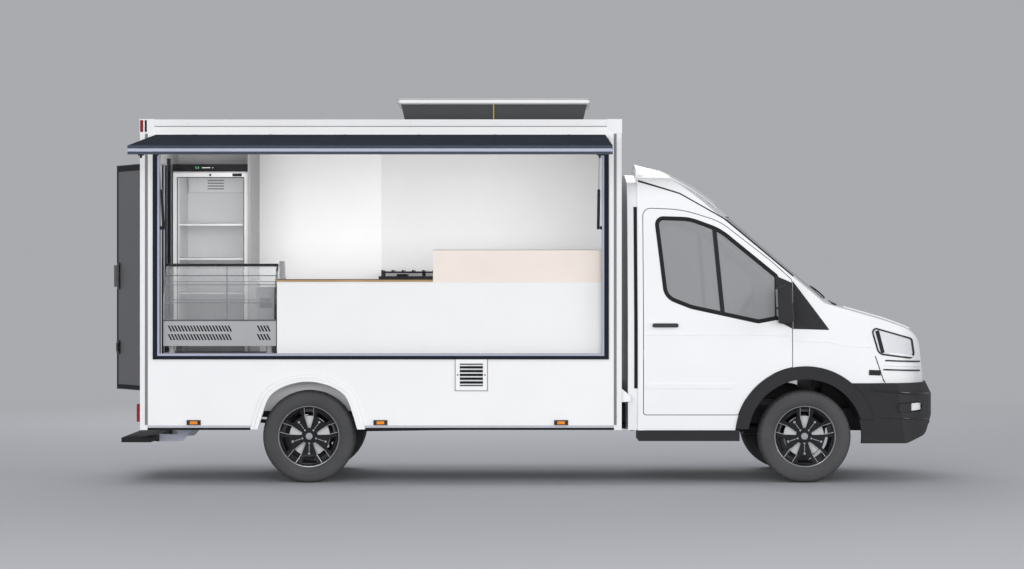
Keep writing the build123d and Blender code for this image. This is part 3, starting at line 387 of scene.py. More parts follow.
class Skin:
    """The outside of some CAD nodes, met along one axis from well outside the truck."""

    FAR_SIDE, FAR = 3000, 6000
    SEAM = 14  # half the width of a gap that top() bridges

    def __init__(self, *names):
        points, faces = [], []
        for name in names:
            base = len(points)
            points += [v.co * METRE for v in nodes[name].data.vertices]
            faces += [[base + i for i in p.vertices] for p in nodes[name].data.polygons]
        self.tree = BVHTree.FromPolygons(points, faces)

    def cast(self, start, way, height):
        """First hit, raised along the surface's normal, or None."""
        hit, normal = self.tree.ray_cast(Vector(start), Vector(way))[:2]
        if hit is None:
            return None
        return hit + normal * (height if normal.dot(Vector(way)) < 0 else -height)

    def side(self, x, z, height, sign, near=0):
        """Outermost of a few close hits from one side, so that a seam makes no dip."""
        spots = ((0, 0), (near, 0), (-near, 0), (0, near), (0, -near)) if near else ((0, 0),)
        start = sign * self.FAR_SIDE
        rows = [(self.cast((x + a, start, z + b), (0, -sign, 0), height), a, b) for a, b in spots]
        rows = [(hit - Vector((a, 0, b)), hit.y * sign) for hit, a, b in rows if hit]
        return max(rows, key=lambda row: row[1])[0] if rows else None

    def from_side(self, sign, near=0):
        """Reach of side() for ribbon and patch."""
        return lambda x, z, height: self.side(x, z, height, sign, near)

    def nose(self, y, z, height):
        return self.cast((self.FAR, y, z), (-1, 0, 0), height)

    def top(self, x, y, height):
        """Highest of three close hits from above."""
        hits = [self.cast((x + a, y, self.FAR), (0, 0, -1), 0) for a in (-self.SEAM, 0, self.SEAM)]
        hits = [hit.z for hit in hits if hit]
        return Vector((x, y, max(hits) + height)) if hits else None


SINK = 6  # depth to which ribbons and patches stand in the surface


def ribbon(name, look, body, path, width, lift, reach, closed=False):
    """Strip along a 2-D path; reach(a, b, height) puts a point on the surface, raised by height."""
    section = ((-0.5, -SINK), (-0.5, lift * 0.6), (-0.28, lift), (0.28, lift), (0.5, lift * 0.6), (0.5, -SINK))
    bm = bmesh.new()
    count = len(path)
    rings = []
    for i, p in enumerate(path):
        p = Vector(p[:2])
        before = Vector(path[i - 1][:2]) if closed or i else p
        after = Vector(path[(i + 1) % count][:2]) if closed or i < count - 1 else p
        run = (after - before).normalized()
        across = Vector((-run.y, run.x))
        places = []
        for offset, height in section:
            q = p + across * (offset * width)
            places.append(reach(q.x, q.y, height))
        if None not in places:
            rings.append([bm.verts.new(place) for place in places])
    count = len(rings)
    for i in range(count if closed else count - 1):
        bridge(bm, rings[i], rings[(i + 1) % count])
    if not closed:
        bm.faces.new(rings[0])
        bm.faces.new(rings[-1][::-1])
    keep(name, bm, look, body, smooth=50)


def patch(name, look, body, corners, reach, lift=4.0, rows=4, step=24):
    """Thin cover on a surface between (a, low, high) columns; reach as for ribbon."""
    columns = [corners[0]]
    for a, b in zip(corners, corners[1:]):
        parts = max(1, round(abs(b[0] - a[0]) / step))
        columns += [tuple(p + (q - p) * k / parts for p, q in zip(a, b)) for k in range(1, parts + 1)]
    bm = bmesh.new()

    def layer(height):
        return [
            [bm.verts.new(reach(a, low + (high - low) * k / (rows - 1), height)) for k in range(rows)]
            for a, low, high in columns]

    under, over = layer(-SINK), layer(lift)
    last = len(columns) - 1
    for grid in (under, over):
        for i in range(last):
            for k in range(rows - 1):
                bm.faces.new((grid[i][k], grid[i + 1][k], grid[i + 1][k + 1], grid[i][k + 1]))
    for i in range(last):
        for k in (0, rows - 1):
            bm.faces.new((under[i][k], under[i + 1][k], over[i + 1][k], over[i][k]))
    for i in (0, last):
        for k in range(rows - 1):
            bm.faces.new((under[i][k], under[i][k + 1], over[i][k + 1], over[i][k]))
    keep(name, bm, look, body)


# Wheels: (radius, height over the wheel's middle plane)
TREAD_R, TREAD_STEPS = 368, 320
GROOVES, GROOVE_HALF = (-56, -19, 19, 56), 5
WALL_PROFILE = [
    (232, 84), (240, 93), (252, 99), (262, 108), (276, 113.5), (279, 112.5), (283, 114.6), (300, 116.6),
    (318, 115.5), (322, 114), (326, 114.8), (340, 110), (350, 105.5),
]
RIM_LIP = [(239, 93), (246, 95.5), (252, 93.5), (252, 90), (239, 90)]
HUB_CAP = [(TIP, 56), (18, 56), (27, 54.5), (29, 51), (29, 46), (TIP, 46)]
BRAKE_RING = [(64, -12.5), (64, -8), (158, -8), (161, -10), (161, -12.5)]
ARMS = 5
ARM_EDGE = ((154, 37.5, 62), (232, 40.5, 85), (232, 36, 84.5), (154, 33.5, 61.5))
ARM_LINE = ((72, 2.6, 47.4), (124, 2.2, 55.5), (124, -2.2, 55.5), (72, -2.6, 47.4))
BOLTS = ((138, 11, 44, 62), (58, 9, 30, 52))  # distance from the axle, radius, low, high


def wheel_place(x, side):
    return lambda u, v, h: (x + u, side * (WHEEL_Y + h), AXLE_Z - side * v)


def tread_drop(h, step):
    """Depth of the tread's grooves and slots at a place across and round the tyre."""
    if any(abs(h - groove) < GROOVE_HALF for groove in GROOVES):
        return 8.0
    phase = (step + (4 if h > 0 else 0) + abs(h) / 9) % 8
    if 62 < abs(h) and phase < 2:
        return 7.0
    if 24 < abs(h) < 52 and phase < 1:
        return 5.0
    return 0.0


def make_tyre(name, x, side):
    edges = [groove + way * GROOVE_HALF for groove in GROOVES for way in (-1, 1)]
    across = sorted({*range(-96, 97, 8), *edges}, reverse=True)

    def profile_at(step):
        tread = [(TREAD_R - (abs(h) / 100) ** 4 * 9 - tread_drop(h, step), h) for h in across]
        return WALL_PROFILE + tread + [(r, -h) for r, h in reversed(WALL_PROFILE)]

    bm = bmesh.new()
    add_spun(bm, profile_at, wheel_place(x, side), TREAD_STEPS)
    piece = keep(f"tyre_tread_{name}", bm, "tyre", f"wheel_{name}", smooth=38)
    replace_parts(piece, f"tyre_{name}")


def make_wheel_trim(name, x, side):
    place = wheel_place(x, side)
    bm = bmesh.new()
    add_lathe(bm, RIM_LIP, place, 96)
    for index in range(ARMS):
        window = 90 + 360 / ARMS * index
        for edge in (-1, 1):
            add_wedge(bm, [(*turned(r, edge * w, window), h) for r, w, h in ARM_EDGE], 50, place)
        arm = window + 180 / ARMS
        for distance, radius, low, high in BOLTS:
            u, v = turned(distance, 0, arm)
            bolt = [(TIP, high), (radius * 0.8, high), (radius, high - 3), (radius, low), (TIP, low)]
            add_lathe(bm, bolt, lambda a, b, h, u=u, v=v: place(u + a, v + b, h), 12)
        add_wedge(bm, [(*turned(r, w, arm), h) for r, w, h in ARM_LINE], 40, place)
    add_lathe(bm, HUB_CAP, place, 32)
    keep(f"wheel_trim_{name}", bm, "machined", f"wheel_{name}", smooth=35)
    bm = bmesh.new()
    add_lathe(bm, BRAKE_RING, place, 72)
    keep(f"brake_face_{name}", bm, "disc_steel", f"wheel_{name}", smooth=35)


for end, x in (("front", AXLE_X), ("rear", -AXLE_X)):
    for side_name, sign in SIDES:
        make_tyre(f"{end}_{side_name}", x, sign)
        make_wheel_trim(f"{end}_{side_name}", x, sign)

# Cab doors: trim that follows the skin
DOOR_SEAM_X = 1875.5
for side_name, sign in SIDES:
    door = Skin(f"cab_door_{side_name}", f"door_glass_{side_name}")
    body = f"{side_name}_door"
    on_door = door.from_side(sign)
    ribbon(f"window_seal_{side_name}", "black_rubber", body,
           loop(WINDOW_LINE, 10, 40), 32, 5, on_door, closed=True)
    ribbon(f"window_bar_{side_name}", "black_gloss", body,
           along([(1257, 2024), (1317, 1348)]), 34, 6, on_door)
    patch(f"mirror_sail_{side_name}", "black_plastic", body,
          [(1740, 1296, 1650), (DOOR_SEAM_X - 2, 1226, 1591)], door.from_side(sign, 9))
    patch(f"door_handle_{side_name}", "handle_grey", body,
          [(757, 1242, 1266), (772, 1237, 1271), (948, 1237, 1271), (963, 1242, 1266)], on_door, 3)
    ribbon(f"door_crease_{side_name}", "cab_paint", body,
           along([(700, 1182), (1500, 1184), (1858, 1172)]), 16, 5, on_door)

# Wings, lamps, bumper and nose
wing = Skin("front_wings", "cab_body", "head_lamps", "front_bumper", "bonnet", "cab_cladding", "grille", "windscreen")
PILLAR = ((1373, 2086), (1884, 1650))
LAMP_LINE = loop([(2495, 1241, 30), (2838, 1145, 30), (2866, 987, 40), (2560, 1027, 60)], 8, 16)


def pillar_path(sign, parts=24, drop=1.5):
    """Side-view line down the windscreen pillar that is straight when seen from above."""
    (x0, z0), (x1, z1) = PILLAR
    y0, y1 = (abs(wing.side(x, z, 0, sign).y) for x, z in PILLAR)
    path = []
    for k in range(parts + 1):
        share = k / parts
        x, z = x0 + (x1 - x0) * share, z0 + (z1 - z0) * share + 40
        goal = y0 + (y1 - y0) * share
        for _ in range(80):
            hit = wing.side(x, z, 0, sign)
            if hit and abs(hit.y) >= goal:
                break
            z -= drop
        path.append((x, z))
    return path


for side_name, sign in SIDES:
    on_wing, in_pocket = wing.from_side(sign, 8), wing.from_side(sign)

    def trim(name, look, path, width, lift, step=25):
        ribbon(f"{name}_{side_name}", look, "truck", along(path, step), width, lift, on_wing)

    patch(f"wing_corner_{side_name}", "black_plastic", "truck",
          [(DOOR_SEAM_X + 1.5, 1226, 1606), (2160, 1218, 1224)], on_wing)
    trim("door_seal", "black_rubber", [(DOOR_SEAM_X, 1230), (DOOR_SEAM_X, 1596)], 5, -2.5)
    trim("roof_gutter", "black_rubber", [(655, 2413), (984, 2308)] + pillar_path(sign), 9, 3)
    ribbon(f"lamp_seal_{side_name}", "black_gloss", "truck", LAMP_LINE, 13, 3, on_wing, closed=True)
    trim("lamp_bar", "black_gloss", [(2545, 1212), (2592, 1034)], 30, 2.5, 20)
    trim("lamp_light", "lamp_white", [(2640, 1030), (2846, 1004)], 14, 4, 20)
    trim("wing_line", "cab_paint", [(1890, 1130), (2150, 1126), (2300, 1090), (2490, 1086)], 14, 4, 30)
    trim("fascia_seam", "black_rubber", [(2530, 1010), (2604, 800)], 6, 1.5)
    trim("side_repeater", "black_gloss", [(2478, 880), (2574, 876)], 42, 5, 12)
    trim("bumper_line", "black_gloss", [(2560, 520), (2980, 505)], 9, 2)
    trim("bumper_shelf", "black_gloss", [(2500, 742), (2760, 716), (2990, 706)], 18, 5)
    patch(f"fog_lens_{side_name}", "lamp_white", "truck",
          [(2826, 574, 632), (2904, 580, 636)], in_pocket, 9, step=13)
    for index, z in enumerate((968, 932, 896)):
        bar = [(2612 - 8 * index, z + 6), (2760, z), (2920, z - 6)]
        trim(f"nose_bar_{index}", "black_gloss" if index != 1 else "cab_paint", bar, 12, 4)
    trim("sill_strip", "black_plastic", [(700, 414), (1440, 414)], 12, 3, 60)
    ribbon(f"rear_seal_{side_name}", "black_rubber", "truck",
           along([(628, 752), (628, 2200)], 60), 27, 5, in_pocket)


def nose_bar(name, look, z, half, width, lift):
    """Level strip across the front."""
    path = along([(-half, z), (half, z)], 50)
    ribbon(name, look, "truck", path, width, lift, wing.nose)


for index, z in enumerate((859, 895, 929, 963, 999)):
    nose_bar(f"grille_bar_{index}", "black_gloss" if index % 2 else "chrome", z, 500 - 8 * index, 10, 6)
nose_bar("bumper_lip", "black_gloss", 470, 700, 22, 5)
for index, z in enumerate((575, 610)):
    nose_bar(f"bumper_slat_{index}", "black_gloss", z, 480, 12, 12)

# Cab roof, bonnet, wipers and mirrors
ROOF_LINE = [(604, 2588), (660, 2572), (880, 2513), (1135, 2394), (1305, 2267), (1420, 2179), (1470, 2140)]
CROWN_HALF = 690


def roof_height(x):
    for (a, low), (b, high) in zip(ROOF_LINE, ROOF_LINE[1:]):
        if a <= x <= b:
            return low + (high - low) * (x - a) / (b - a)


def on_crown(x, y, height):
    """The cab roof's crown, fullest along its middle."""
    shifts = (-80, -40, 0, 40, 80)
    goal = sum(roof_height(max(x + shift, ROOF_LINE[0][0])) for shift in shifts) / len(shifts)
    base = wing.top(x, y, 0)
    rise = max(goal - wing.top(x, 0, 0).z, 0) * max(1 - (y / (CROWN_HALF + 10)) ** 2, 0)
    return base + Vector((0, 0, height if height < 0 else rise + 1.5))


def mirror_lean(co):
    """The mirror's face leans back towards its top."""
    return Vector((co.x - 12 * (co.z - 1262) / 298, co.y, co.z))


patch("roof_crown", "cab_paint", "truck",
      [(x, -CROWN_HALF, CROWN_HALF) for x in (650, 1290)], on_crown, 1, 29, 32)
for side_name, sign in SIDES:
    ribbon(f"bonnet_crease_{side_name}", "cab_paint", "bonnet_lid",
           along([(2330, sign * 560), (2880, sign * 430)]), 26, 5, wing.top)
    ribbon(f"wiper_{side_name}", "black_rubber", "truck",
           along([(2168, 330 * sign - 260), (2118, 330 * sign + 260)], 30), 16, 9, wing.top)
    mirror_x, mirror_y = (1740.4, 1744), sorted((sign * 1078, sign * 1232))
    slabs(f"mirror_glass_{side_name}", "mirror", f"{side_name}_door",
          [(mirror_x, mirror_y, z) for z in ((1400, 1540), (1290, 1384))], 0.8, mirror_lean)
ribbon("cowl", "black_plastic", "truck",
       along([(2232, -760), (2270, -380), (2280, 0), (2270, 380), (2232, 760)]), 40, 4, wing.top)


# Box trim
def wall(sign, low, high):
    """Limits between two heights over the outside of a side wall."""
    return sorted((sign * (BOX_Y + low), sign * (BOX_Y + high)))


RIVET = [(TIP, 3.2), (4, 2.6), (6, 0.8), (6, -1), (TIP, -1)]
RIVET_SPOTS = [(x, z) for x in (-3274, 478) for z in range(540, 2760, 180)]
RIVET_SPOTS += [(x, 2858) for x in range(-3140, 400, 220)]
CORNER_MARKERS = (
    ("red", "lamp_red", (-3304, -3279)),
    ("lamp_white", "lamp_clear", (-3278, -3268)),
    ("black_gloss", "black_plastic", (-3267, -3251)),
)
for side_name, sign in SIDES:
    edges = ((BOX_X[0] + 40, BOX_X[0] + 62), (BOX_X[1] - 62, BOX_X[1] - 40))
    slabs(f"edge_strip_{side_name}", "rail_grey", "truck",
          [(x, wall(sign, -1, 3), (466, 2774)) for x in edges], 1.0)
    slabs(f"top_bead_{side_name}", "rail_grey", "truck",
          [((-3189, 394), wall(sign, -1, 2.5), (2829, 2835))], 0.8)
    bm = bmesh.new()
    for x, way in ((BOX_X[0], 1), (BOX_X[1], -1)):
        cap = [(-3, 2890), (117, 2890), (117, 2832), (56, 2776), (-3, 2776)]
        path = [(x + way * a, z) for a, z in cap]
        add_prism(bm, path, lambda a, b, h: (a, sign * h, b), BOX_Y - 8, BOX_Y + 4)
    keep(f"corner_cap_{side_name}", bm, "rail_white", "truck", bevel=1.5)
    for look, slot, x in CORNER_MARKERS:
        slabs(f"corner_marker_{look}_{side_name}", look, "truck", [
            (x, wall(sign, 3, 9), (2788, 2881)),
            ((x[0] + 1, x[1] - 1), wall(sign, 8, 11), (2794, 2875))], 1.5)
    lens = []
    for x in (-2879, -1400, 31):
        lens += [((x - 30, x + 30), wall(sign, 15, 20), (472, 496)),
                 ((x - 27, x + 27), wall(sign, 19, 22), (475, 493))]
    slabs(f"marker_lens_{side_name}", "amber", "truck", lens, 1.5)
    bm = bmesh.new()
    for x, z in RIVET_SPOTS:
        add_lathe(bm, RIVET, lambda u, v, h, x=x, z=z: (x + u, sign * (BOX_Y + h), z + v), 10)
    keep(f"rivets_{side_name}", bm, "rail_white", "truck", smooth=60)

# Side vent: black lining inside as painted shade in its depth, seal and screws
VENT_Z, VENT_SEAL_Y = (774, 952), (-1079, -1074)
slabs("vent_painted_shade", "black_rubber", "truck", [
    ((-771, -589), (-1064, -1058), VENT_Z),
    ((-771, -766), (-1074, -1058), VENT_Z),
    ((-594, -589), (-1074, -1058), VENT_Z)], 0.5)
slabs("vent_seal", "rail_grey", "truck", [
    ((-811, -805.5), VENT_SEAL_Y, (734, 992)),
    ((-554.5, -549), VENT_SEAL_Y, (734, 992)),
    ((-805.5, -554.5), VENT_SEAL_Y, (734, 739.5)),
    ((-805.5, -554.5), VENT_SEAL_Y, (986.5, 992))], 0.8)
bm = bmesh.new()
for x in (-788, -572):
    add_lathe(bm, [(TIP, 3), (5, 2.6), (7, 0.6), (7, -1), (TIP, -1)],
              lambda u, v, h, x=x: (x + u, -1089 - h, 863 + v), 14)
keep("vent_screws", bm, "edge_grey", "truck", smooth=50)

# Rear wheel arches: bowed flares (half lines from foot to top), with the wheel boxes behind them
FLARE_OUTER = [(456, 432), (428, 545), (392, 650), (343, 741), (279, 791), (178, 836), (81, 863), (0, 870)]
FLARE_INNER = [(392, 432), (355, 557), (315, 665), (266, 724), (178, 773), (81, 800), (0, 808)]
FLARE_PROFILE = [  # share of the way from outer to inner line, height over the wall
    (0, -4), (0, 9), (0.06, 14), (0.42, 16), (0.46, 23), (0.52, 26), (0.94, 26), (1, 20), (1, -30), (0, -30),
]
WHEEL_BOX = [
    ((-2397, -1557), (690, 1030), (840, 850)), ((-2397, -1557), (690, 700), (560, 840)),
    ((-2397, -2387), (700, 1030), (690, 840)), ((-1567, -1557), (700, 1030), (690, 840)),
]


def bowed(half, count=48, fine_steps=12):
    """Smooth line through a half arch and its mirror image, in equal runs."""
    points = [Vector((-x, z)) for x, z in half] + [Vector((x, z)) for x, z in half[-2::-1]]
    last = len(points) - 1
    fine = []
    for i in range(last):
        a, b, c, d = points[max(i - 1, 0)], points[i], points[i + 1], points[min(i + 2, last)]
        for k in range(fine_steps):
            t = k / fine_steps
            square, cube = 2 * a - 5 * b + 4 * c - d, 3 * b - a - 3 * c + d
            fine.append(0.5 * (2 * b + (c - a) * t + square * t * t + cube * t ** 3))
    fine.append(points[-1])
    reach = [0.0]
    for a, b in zip(fine, fine[1:]):
        reach.append(reach[-1] + (b - a).length)
    out = []
    for k in range(count + 1):
        goal = reach[-1] * k / count
        i = next((n for n in range(len(reach) - 1) if reach[n + 1] >= goal), len(reach) - 2)
        out.append(fine[i].lerp(fine[i + 1], (goal - reach[i]) / (reach[i + 1] - reach[i])))
    return out


bm = bmesh.new()
for side_name, sign in SIDES:
    rings = []
    for outer, inner in zip(bowed(FLARE_OUTER), bowed(FLARE_INNER)):
        spots = [(outer.lerp(inner, share), height) for share, height in FLARE_PROFILE]
        rings.append([bm.verts.new((p.x - AXLE_X, sign * (BOX_Y + h), p.y)) for p, h in spots])
    for a, b in zip(rings, rings[1:]):
        bridge(bm, a, b)
    bm.faces.new(rings[0])
    bm.faces.new(rings[-1][::-1])
    for x, y, z in WHEEL_BOX:
        add_box(bm, x, sorted((sign * y[0], sign * y[1])), z)
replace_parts(keep("arch_flares", bm, "panel_white", "truck", smooth=30), "rear_arches")

# Service opening: inner strip in painted highlight, the lit band of the frame's dark profile, and hinge rail
STRIP = 17
strip_y, strip_z = (-BOX_Y - 21, -BOX_Y - 17), (1014, 2600)
slabs("opening_painted_highlight", "painted_highlight_lavender", "truck", [
    ((OPENING_X[0] - STRIP, OPENING_X[0]), strip_y, strip_z),
    ((OPENING_X[1], OPENING_X[1] + STRIP), strip_y, strip_z),
    (OPENING_X, strip_y, (strip_z[0], OPENING_LOW))], 1.0)
slabs("hinge_rail", "slate", "truck", [
    (FRAME_X, (-BOX_Y - 22, -BOX_Y - 16), (2724, 2735)),
    (FRAME_X, (-BOX_Y - 20, -BOX_Y - 16), (2706, 2714))], 1.2)


# Hatch, described as shut
def swung(co):
    """From the shut hatch to the open one."""
    y, z = turned(co.y - HATCH_HINGE[0], co.z - HATCH_HINGE[1], -HATCH_OPEN)
    return Vector((co.x, HATCH_HINGE[0] + y, HATCH_HINGE[1] + z))


HATCH_BORDER = 44
inner_face, outer_face = HATCH_HINGE[0], HATCH_HINGE[0] - HATCH_THICK
low_edge, high_edge = HATCH_HINGE[1] - HATCH_TOP_GAP - HATCH_LENGTH, 2688
full_x = (HATCH_X[0] - 4, HATCH_X[1] + 4)
rear_x, front_x = (full_x[0], full_x[0] + HATCH_BORDER), (full_x[1] - HATCH_BORDER, full_x[1])
outer_y, middle_y = (outer_face - 2, outer_face + 20), (outer_face + 21, inner_face - 21)
inner_y = (inner_face - 20, inner_face + 2)
border_top = low_edge + HATCH_BORDER
slabs("hatch_edge_dark", "slate", "hatch_leaf", [
    (full_x, outer_y, (low_edge - 0.8, border_top)), (full_x, inner_y, (low_edge - 0.8, border_top)),
    (rear_x, outer_y, (border_top, high_edge)), (front_x, outer_y, (border_top, high_edge)),
    (rear_x, inner_y, (border_top, 2560)), (front_x, inner_y, (border_top, 2560))], 2.0, swung)
# The lavender middle band is painted highlight, the lit part of the slate edge profile
slabs("hatch_edge_painted_highlight", "painted_highlight_lavender", "hatch_leaf", [
    (full_x, middle_y, (low_edge - 0.5, low_edge + 4)),
    ((full_x[0] + 1, HATCH_X[0] + 4), middle_y, (low_edge + 4, high_edge)),
    ((HATCH_X[1] - 4, full_x[1] - 1), middle_y, (low_edge + 4, high_edge))], 1.0, swung)
latches = []
for x in (HATCH_X[0] + 70, HATCH_X[1] - 110):
    latches += [((x, x + 40), (inner_face, inner_face + 12), (low_edge + 14, low_edge + 70)),
                ((x + 12, x + 28), (inner_face + 10, inner_face + 30), (low_edge + 24, low_edge + 44))]
slabs("hatch_latches", "black_gloss", "hatch_leaf", latches, 3.0, swung)
skin = [((HATCH_X[0] - 3.6, HATCH_X[1] + 3.6), (outer_face - 2.6, outer_face + 4), (low_edge + 3, 2690))]
for x in range(-2870, 100, 590):
    skin.append(((x, x + 26), (outer_face - 4.5, outer_face + 2), (low_edge + 60, 2680)))
slabs("hatch_skin", "hatch_slate", "hatch_leaf", skin, 1.0, swung)


# Rear door, described as shut, and its doorway
def ajar(co):
    """From the shut rear door to where it stands."""
    x, y = turned(co.x - DOOR_HINGE[0], co.y - DOOR_HINGE[1], DOOR_OPEN)
    return Vector((DOOR_HINGE[0] + x, DOOR_HINGE[1] + y, co.z))


band_x, lining_x, lining_z = (-3309, -3305), (-3261, -3231), (742, 2640)
slabs("rear_door_bands", "black_rubber", "rear_door_leaf", [
    (band_x, (-402, 232), (712, 746)), (band_x, (-402, 232), (2520, 2568)),
    (band_x, (232, 254), (706, 2574)), (band_x, (-414, -402), (706, 2574))], 1.2, ajar)
slabs("rear_door_lock", "black_gloss", "rear_door_leaf", [
    ((-3322, -3305), (188, 232), (1000, 1110)),
    ((-3330, -3318), (196, 224), (1020, 1090)),
    ((-3318, -3305), (190, 234), (1540, 1760))], 3.0, ajar)
slabs("doorway_liner", "black_gloss", "truck", [
    ((-3304, -3262), (258, 260.5), (742, 2580)),
    (lining_x, (262, 330), lining_z),
    (lining_x, (-490, -422), lining_z)], 1.0)
# Lavender strips: painted highlight on the doorway's dark profiles
slabs("doorway_painted_highlight", "painted_highlight_lavender", "truck", [
    ((-3290, -3278), (256.5, 259), (742, 2580)),
    ((-3231, -3226), (286, 306), lining_z)], 0.8)
bm = bmesh.new()
for sign in (-1, 1):
    for z, radius in ((525, 26), (592, 28)):
        add_lathe(bm, [(TIP, 7), (radius * 0.6, 6), (radius, 1), (radius, -3), (TIP, -3)],
                  lambda u, v, h, z=z, sign=sign: (BOX_X[0] - 28 - h, sign * 990 + u, z + v), 28)
keep("tail_lenses", bm, "red", "truck", smooth=50)

# Rear step: ribs on the tread
slabs("step_ribs", "black_rubber", "truck",
      [((x, x + 12), (-940, 940), (357, 362)) for x in range(-3462, -3246, 22)], 1.5)

# Roof vent: seams and stays
slabs("vent_trim", "rail_grey", "truck",
      [((-1295, 284), (-404, 404), z) for z in ((3058, 3063), (3088, 3092))], 1.0)
slabs("vent_stay", "stay_yellow", "truck",
      [((-512, -504), y, (2925, 3052)) for y in ((-385, -379), (379, 385))], 1.0)

# Fridge
slabs("fridge_band", "black_gloss", "truck", [
    ((-3213, -2573), (244, 252), (2528, 2591)),
    ((-3205, -2581), (241, 246), (2534, 2585))], 3.0)
display_y = (238.5, 242)
slabs("fridge_display", "lamp_white", "truck", [
    ((-2965, -2896), display_y, (2557, 2565)),
    ((-2880, -2870), display_y, (2558, 2564))], 0.6)
slabs("fridge_lights", "green_light", "truck", [
    ((-3020, -3008), display_y, (2551, 2571)),
    ((-3001, -2989), display_y, (2551, 2571))], 0.6)
glass_x, glass_z, seal_y = (-3173, -2613), (945, 2480), (248, 252)
slabs("fridge_seal", "black_rubber", "fridge_door_leaf",
      [((x - 3, x + 3), seal_y, glass_z) for x in glass_x]
      + [(glass_x, seal_y, (z - 3, z + 3)) for z in glass_z], 0.8)
bm = bmesh.new()
add_lathe(bm, [(TIP, 6), (6, 6), (9, 3), (10, -1), (TIP, -1)],
          lambda u, v, h: (-2896 + u, 250 - h, 2500 + v), 20)
add_box(bm, (-2709, -2631), (245, 251), (2488, 2513))
keep("fridge_lock", bm, "black_gloss", "fridge_door_leaf", bevel=1.0)
slabs("fridge_cooler", "fridge", "truck", [
    ((-3150, -2640), (860, 938), (2374, 2512)),
    ((-3140, -2650), (852, 862), (2384, 2502))], 6.0)
slabs("fridge_edge", "edge_grey", "truck", [
    ((-2579, -2575), (302, 560), (1185, 2582)),
    ((-2579, -2573), (302, 316), (1185, 2582))], 1.0)
slabs("fridge_slots", "edge_grey", "truck",
      [((-2985, -2845), (848, 853), (z, z + 10)) for z in (2400, 2424, 2448, 2472)], 1.0)
wires = []
for z in (1226, 1515, 1804, 2093):
    wires.append(((-3160, -2626), (318, 324), (z, z + 6)))
    wires += [((x, x + 4), (322, 936), (z, z + 4)) for x in range(-3140, -2630, 36)]
slabs("fridge_wires", "chrome", "truck", wires, 0)

# Display case
SLOT = [(0, 48), (14, 48), (38, 0), (24, 0)]
bm = bmesh.new()
for low_x, high_x in ((-3096, -2610), (-2388, -2290)):
    for z in (1137, 1205):
        for x in range(low_x, high_x, 25):
            path = [(x + a, z + b) for a, b in SLOT]
            add_prism(bm, path, lambda a, b, h: (a, h, b), -1001.2, -998)
keep("case_slots", bm, "black_gloss", "truck")
CASE_LINE = rounded([(-996, 1292, 0), (-996, 1500, 200), (-790, 1739, 160), (-400, 1739, 0), (-400, 1292, 0)], 10)
for end, x, look in (("front", (-2250, -2232), "black_gloss"), ("rear", (-3133, -3121), "steel")):
    bm = bmesh.new()
    add_prism(bm, CASE_LINE, lambda a, b, h: (h, a, b), *x)
    for cap in [f for f in bm.faces if len(f.verts) == len(CASE_LINE)]:
        bmesh.ops.inset_region(bm, faces=[cap], thickness=16)
        bm.faces.remove(cap)
    keep(f"case_end_{end}", bm, look, "truck")
rail_x, case_x = (-3120, -2250), (-3131, -2234)
slabs("case_rails", "edge_grey", "truck", [
    (case_x, (-1002, -992), (1288, 1300)), (rail_x, (-966, -956), (1429, 1437)),
    (rail_x, (-906, -896), (1573, 1580)), (rail_x, (-520, -512), (1451, 1456)),
    (rail_x, (-520, -512), (1600, 1605)), ((-3126, -2242), (-868, -861), (1647, 1653)),
    ((-2694, -2680), (-404, -397), (1294, 1736)), (case_x, (-404, -397), (1724, 1740))], 1.5)
tube("case_top_bar", "black_gloss", "truck",
     [(x, -802, 1736) for x in (-3133, -2700, -2232)], 11)
slabs("case_unit", "unit_grey", "truck", [
    ((-2414, -2262), (-760, -560), (1294, 1558)),
    ((-2398, -2278), (-764, -756), (1330, 1500))], 12.0)
slabs("case_unit_panel", "door_grey", "truck", [
    ((-2384, -2292), (-768, -760), (1390, 1470)),
    ((-2376, -2300), (-771, -766), (1400, 1426))], 3.0)
FOOT = [(TIP, 1091), (26, 1091), (26, 1078), (23, 1074), (23, 1046), (29, 1040), (29, 1034.5), (TIP, 1034.5)]
bm = bmesh.new()
for x in (-3071, -2294):
    for y in (-940, -460):
        add_lathe(bm, FOOT, lambda u, v, h, x=x, y=y: (x + u, y + v, h), 24)
keep("case_feet", bm, "case_grey", "truck")

# Counter and cooking range
worktop_x, panel_x = (-2229, -986), (-986, 468)
slabs("worktop", "oak", "truck", [(worktop_x, (-1026, -397), (1600, 1620.5))], 2.5)
slabs("worktop_edge", "black_rubber", "truck", [(worktop_x, (-1028, -1024), (1617, 1621.5))], 0.8)
slabs("raised_panel", "peach", "truck", [
    (panel_x, (-1013, -1009), (1595, 1855)),
    (panel_x, (-1013, -418), (1852, 1856))], 1.2)
slabs("range_door", "steel", "truck", [
    ((-1440, -786), (375, 381), (900, 1500)),
    ((-1400, -826), (340, 352), (1420, 1436)),
    ((-1400, -1384), (350, 378), (1418, 1438)),
    ((-842, -826), (350, 378), (1418, 1438))], 3.0)

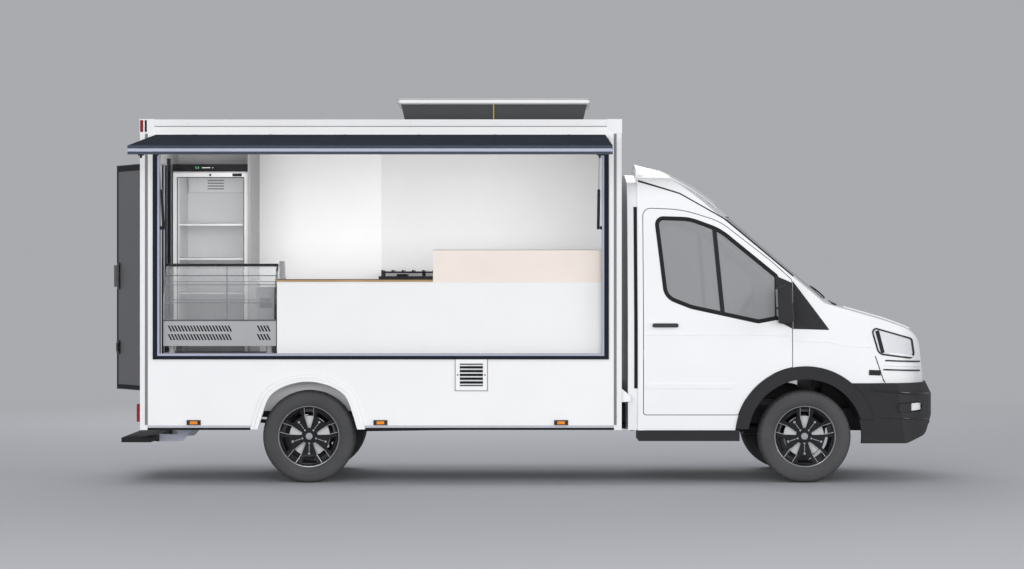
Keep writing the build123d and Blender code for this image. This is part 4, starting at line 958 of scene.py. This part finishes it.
# Studio, in metres: a pale floor that fades into the background
BACKGROUND = (0.40, 0.405, 0.425)
FLOOR_HALF, FADE = 400.0, (5, 17)
mat, tree, shader = tree_of("studio_floor")
shader.inputs["Base Color"].default_value = (0.52, 0.53, 0.56, 1)
shader.inputs["Roughness"].default_value = 0.9
place = tree.nodes.new("ShaderNodeTexCoord")
distance = tree.nodes.new("ShaderNodeVectorMath")
distance.operation = "LENGTH"
fade = tree.nodes.new("ShaderNodeMapRange")
fade.interpolation_type = "SMOOTHSTEP"
fade.inputs["From Min"].default_value, fade.inputs["From Max"].default_value = FADE
far = tree.nodes.new("ShaderNodeEmission")
far.inputs["Color"].default_value = (*BACKGROUND, 1)
blend = tree.nodes.new("ShaderNodeMixShader")
tree.links.new(place.outputs["Object"], distance.inputs[0])
tree.links.new(distance.outputs["Value"], fade.inputs["Value"])
tree.links.new(fade.outputs["Result"], blend.inputs["Fac"])
tree.links.new(shader.outputs["BSDF"], blend.inputs[1])
tree.links.new(far.outputs["Emission"], blend.inputs[2])
tree.links.new(blend.outputs["Shader"], tree.nodes["Material Output"].inputs["Surface"])
bm = bmesh.new()
add_box(bm, (-FLOOR_HALF, FLOOR_HALF), (-FLOOR_HALF, FLOOR_HALF), (-0.05, -0.0005))
mesh = bpy.data.meshes.new("studio_floor")
bm.to_mesh(mesh)
bm.free()
mesh.materials.append(mat)
ground = bpy.data.objects.new("studio_floor", mesh)
scene.collection.objects.link(ground)

world = bpy.data.worlds.new("studio")
scene.world = world
world.use_nodes = True
world.node_tree.nodes["Background"].inputs["Color"].default_value = (*BACKGROUND, 1)


def lamp(name, place, target, size, watts, gloss=True):
    """Area lamp; without gloss no surface mirrors it."""
    data = bpy.data.lights.new(name, "AREA")
    data.shape = "RECTANGLE"
    data.size, data.size_y = size
    data.energy = watts
    holder = bpy.data.objects.new(name, data)
    holder.location = place
    holder.rotation_euler = (Vector(target) - Vector(place)).to_track_quat("-Z", "Y").to_euler()
    holder.visible_glossy = gloss
    holder.visible_camera = False
    scene.collection.objects.link(holder)


lamp("key", (-4, -12, 10), (0, -1, 1.2), (9, 6), 200)
lamp("front", (-1, -17, 2.6), (-1, 0, 1.6), (16, 4), 1750, False)
lamp("inside", (-1.4, -0.92, 2.3), (-1.4, 1.0, 1.75), (3.3, 0.6), 22, False)
lamp("nose", (12, -7, 5), (1, 0, 1.2), (6, 5), 300)
lamp("back", (-2, 13, 8), (0, 0, 1.5), (10, 6), 600)

# Camera of the photograph, looking square across the truck
eye = bpy.data.cameras.new("photo_eye")
eye.sensor_fit = "HORIZONTAL"
eye.sensor_width = 36
eye.lens = 95.5
eye.clip_end = 200
camera = bpy.data.objects.new("photo_eye", eye)
camera.location = (-0.358, -22.6, 1.579)
camera.rotation_euler = (math.radians(90), 0, 0)
scene.collection.objects.link(camera)
scene.camera = camera

scene.view_settings.view_transform = "Standard"
bpy.context.view_layer.update()
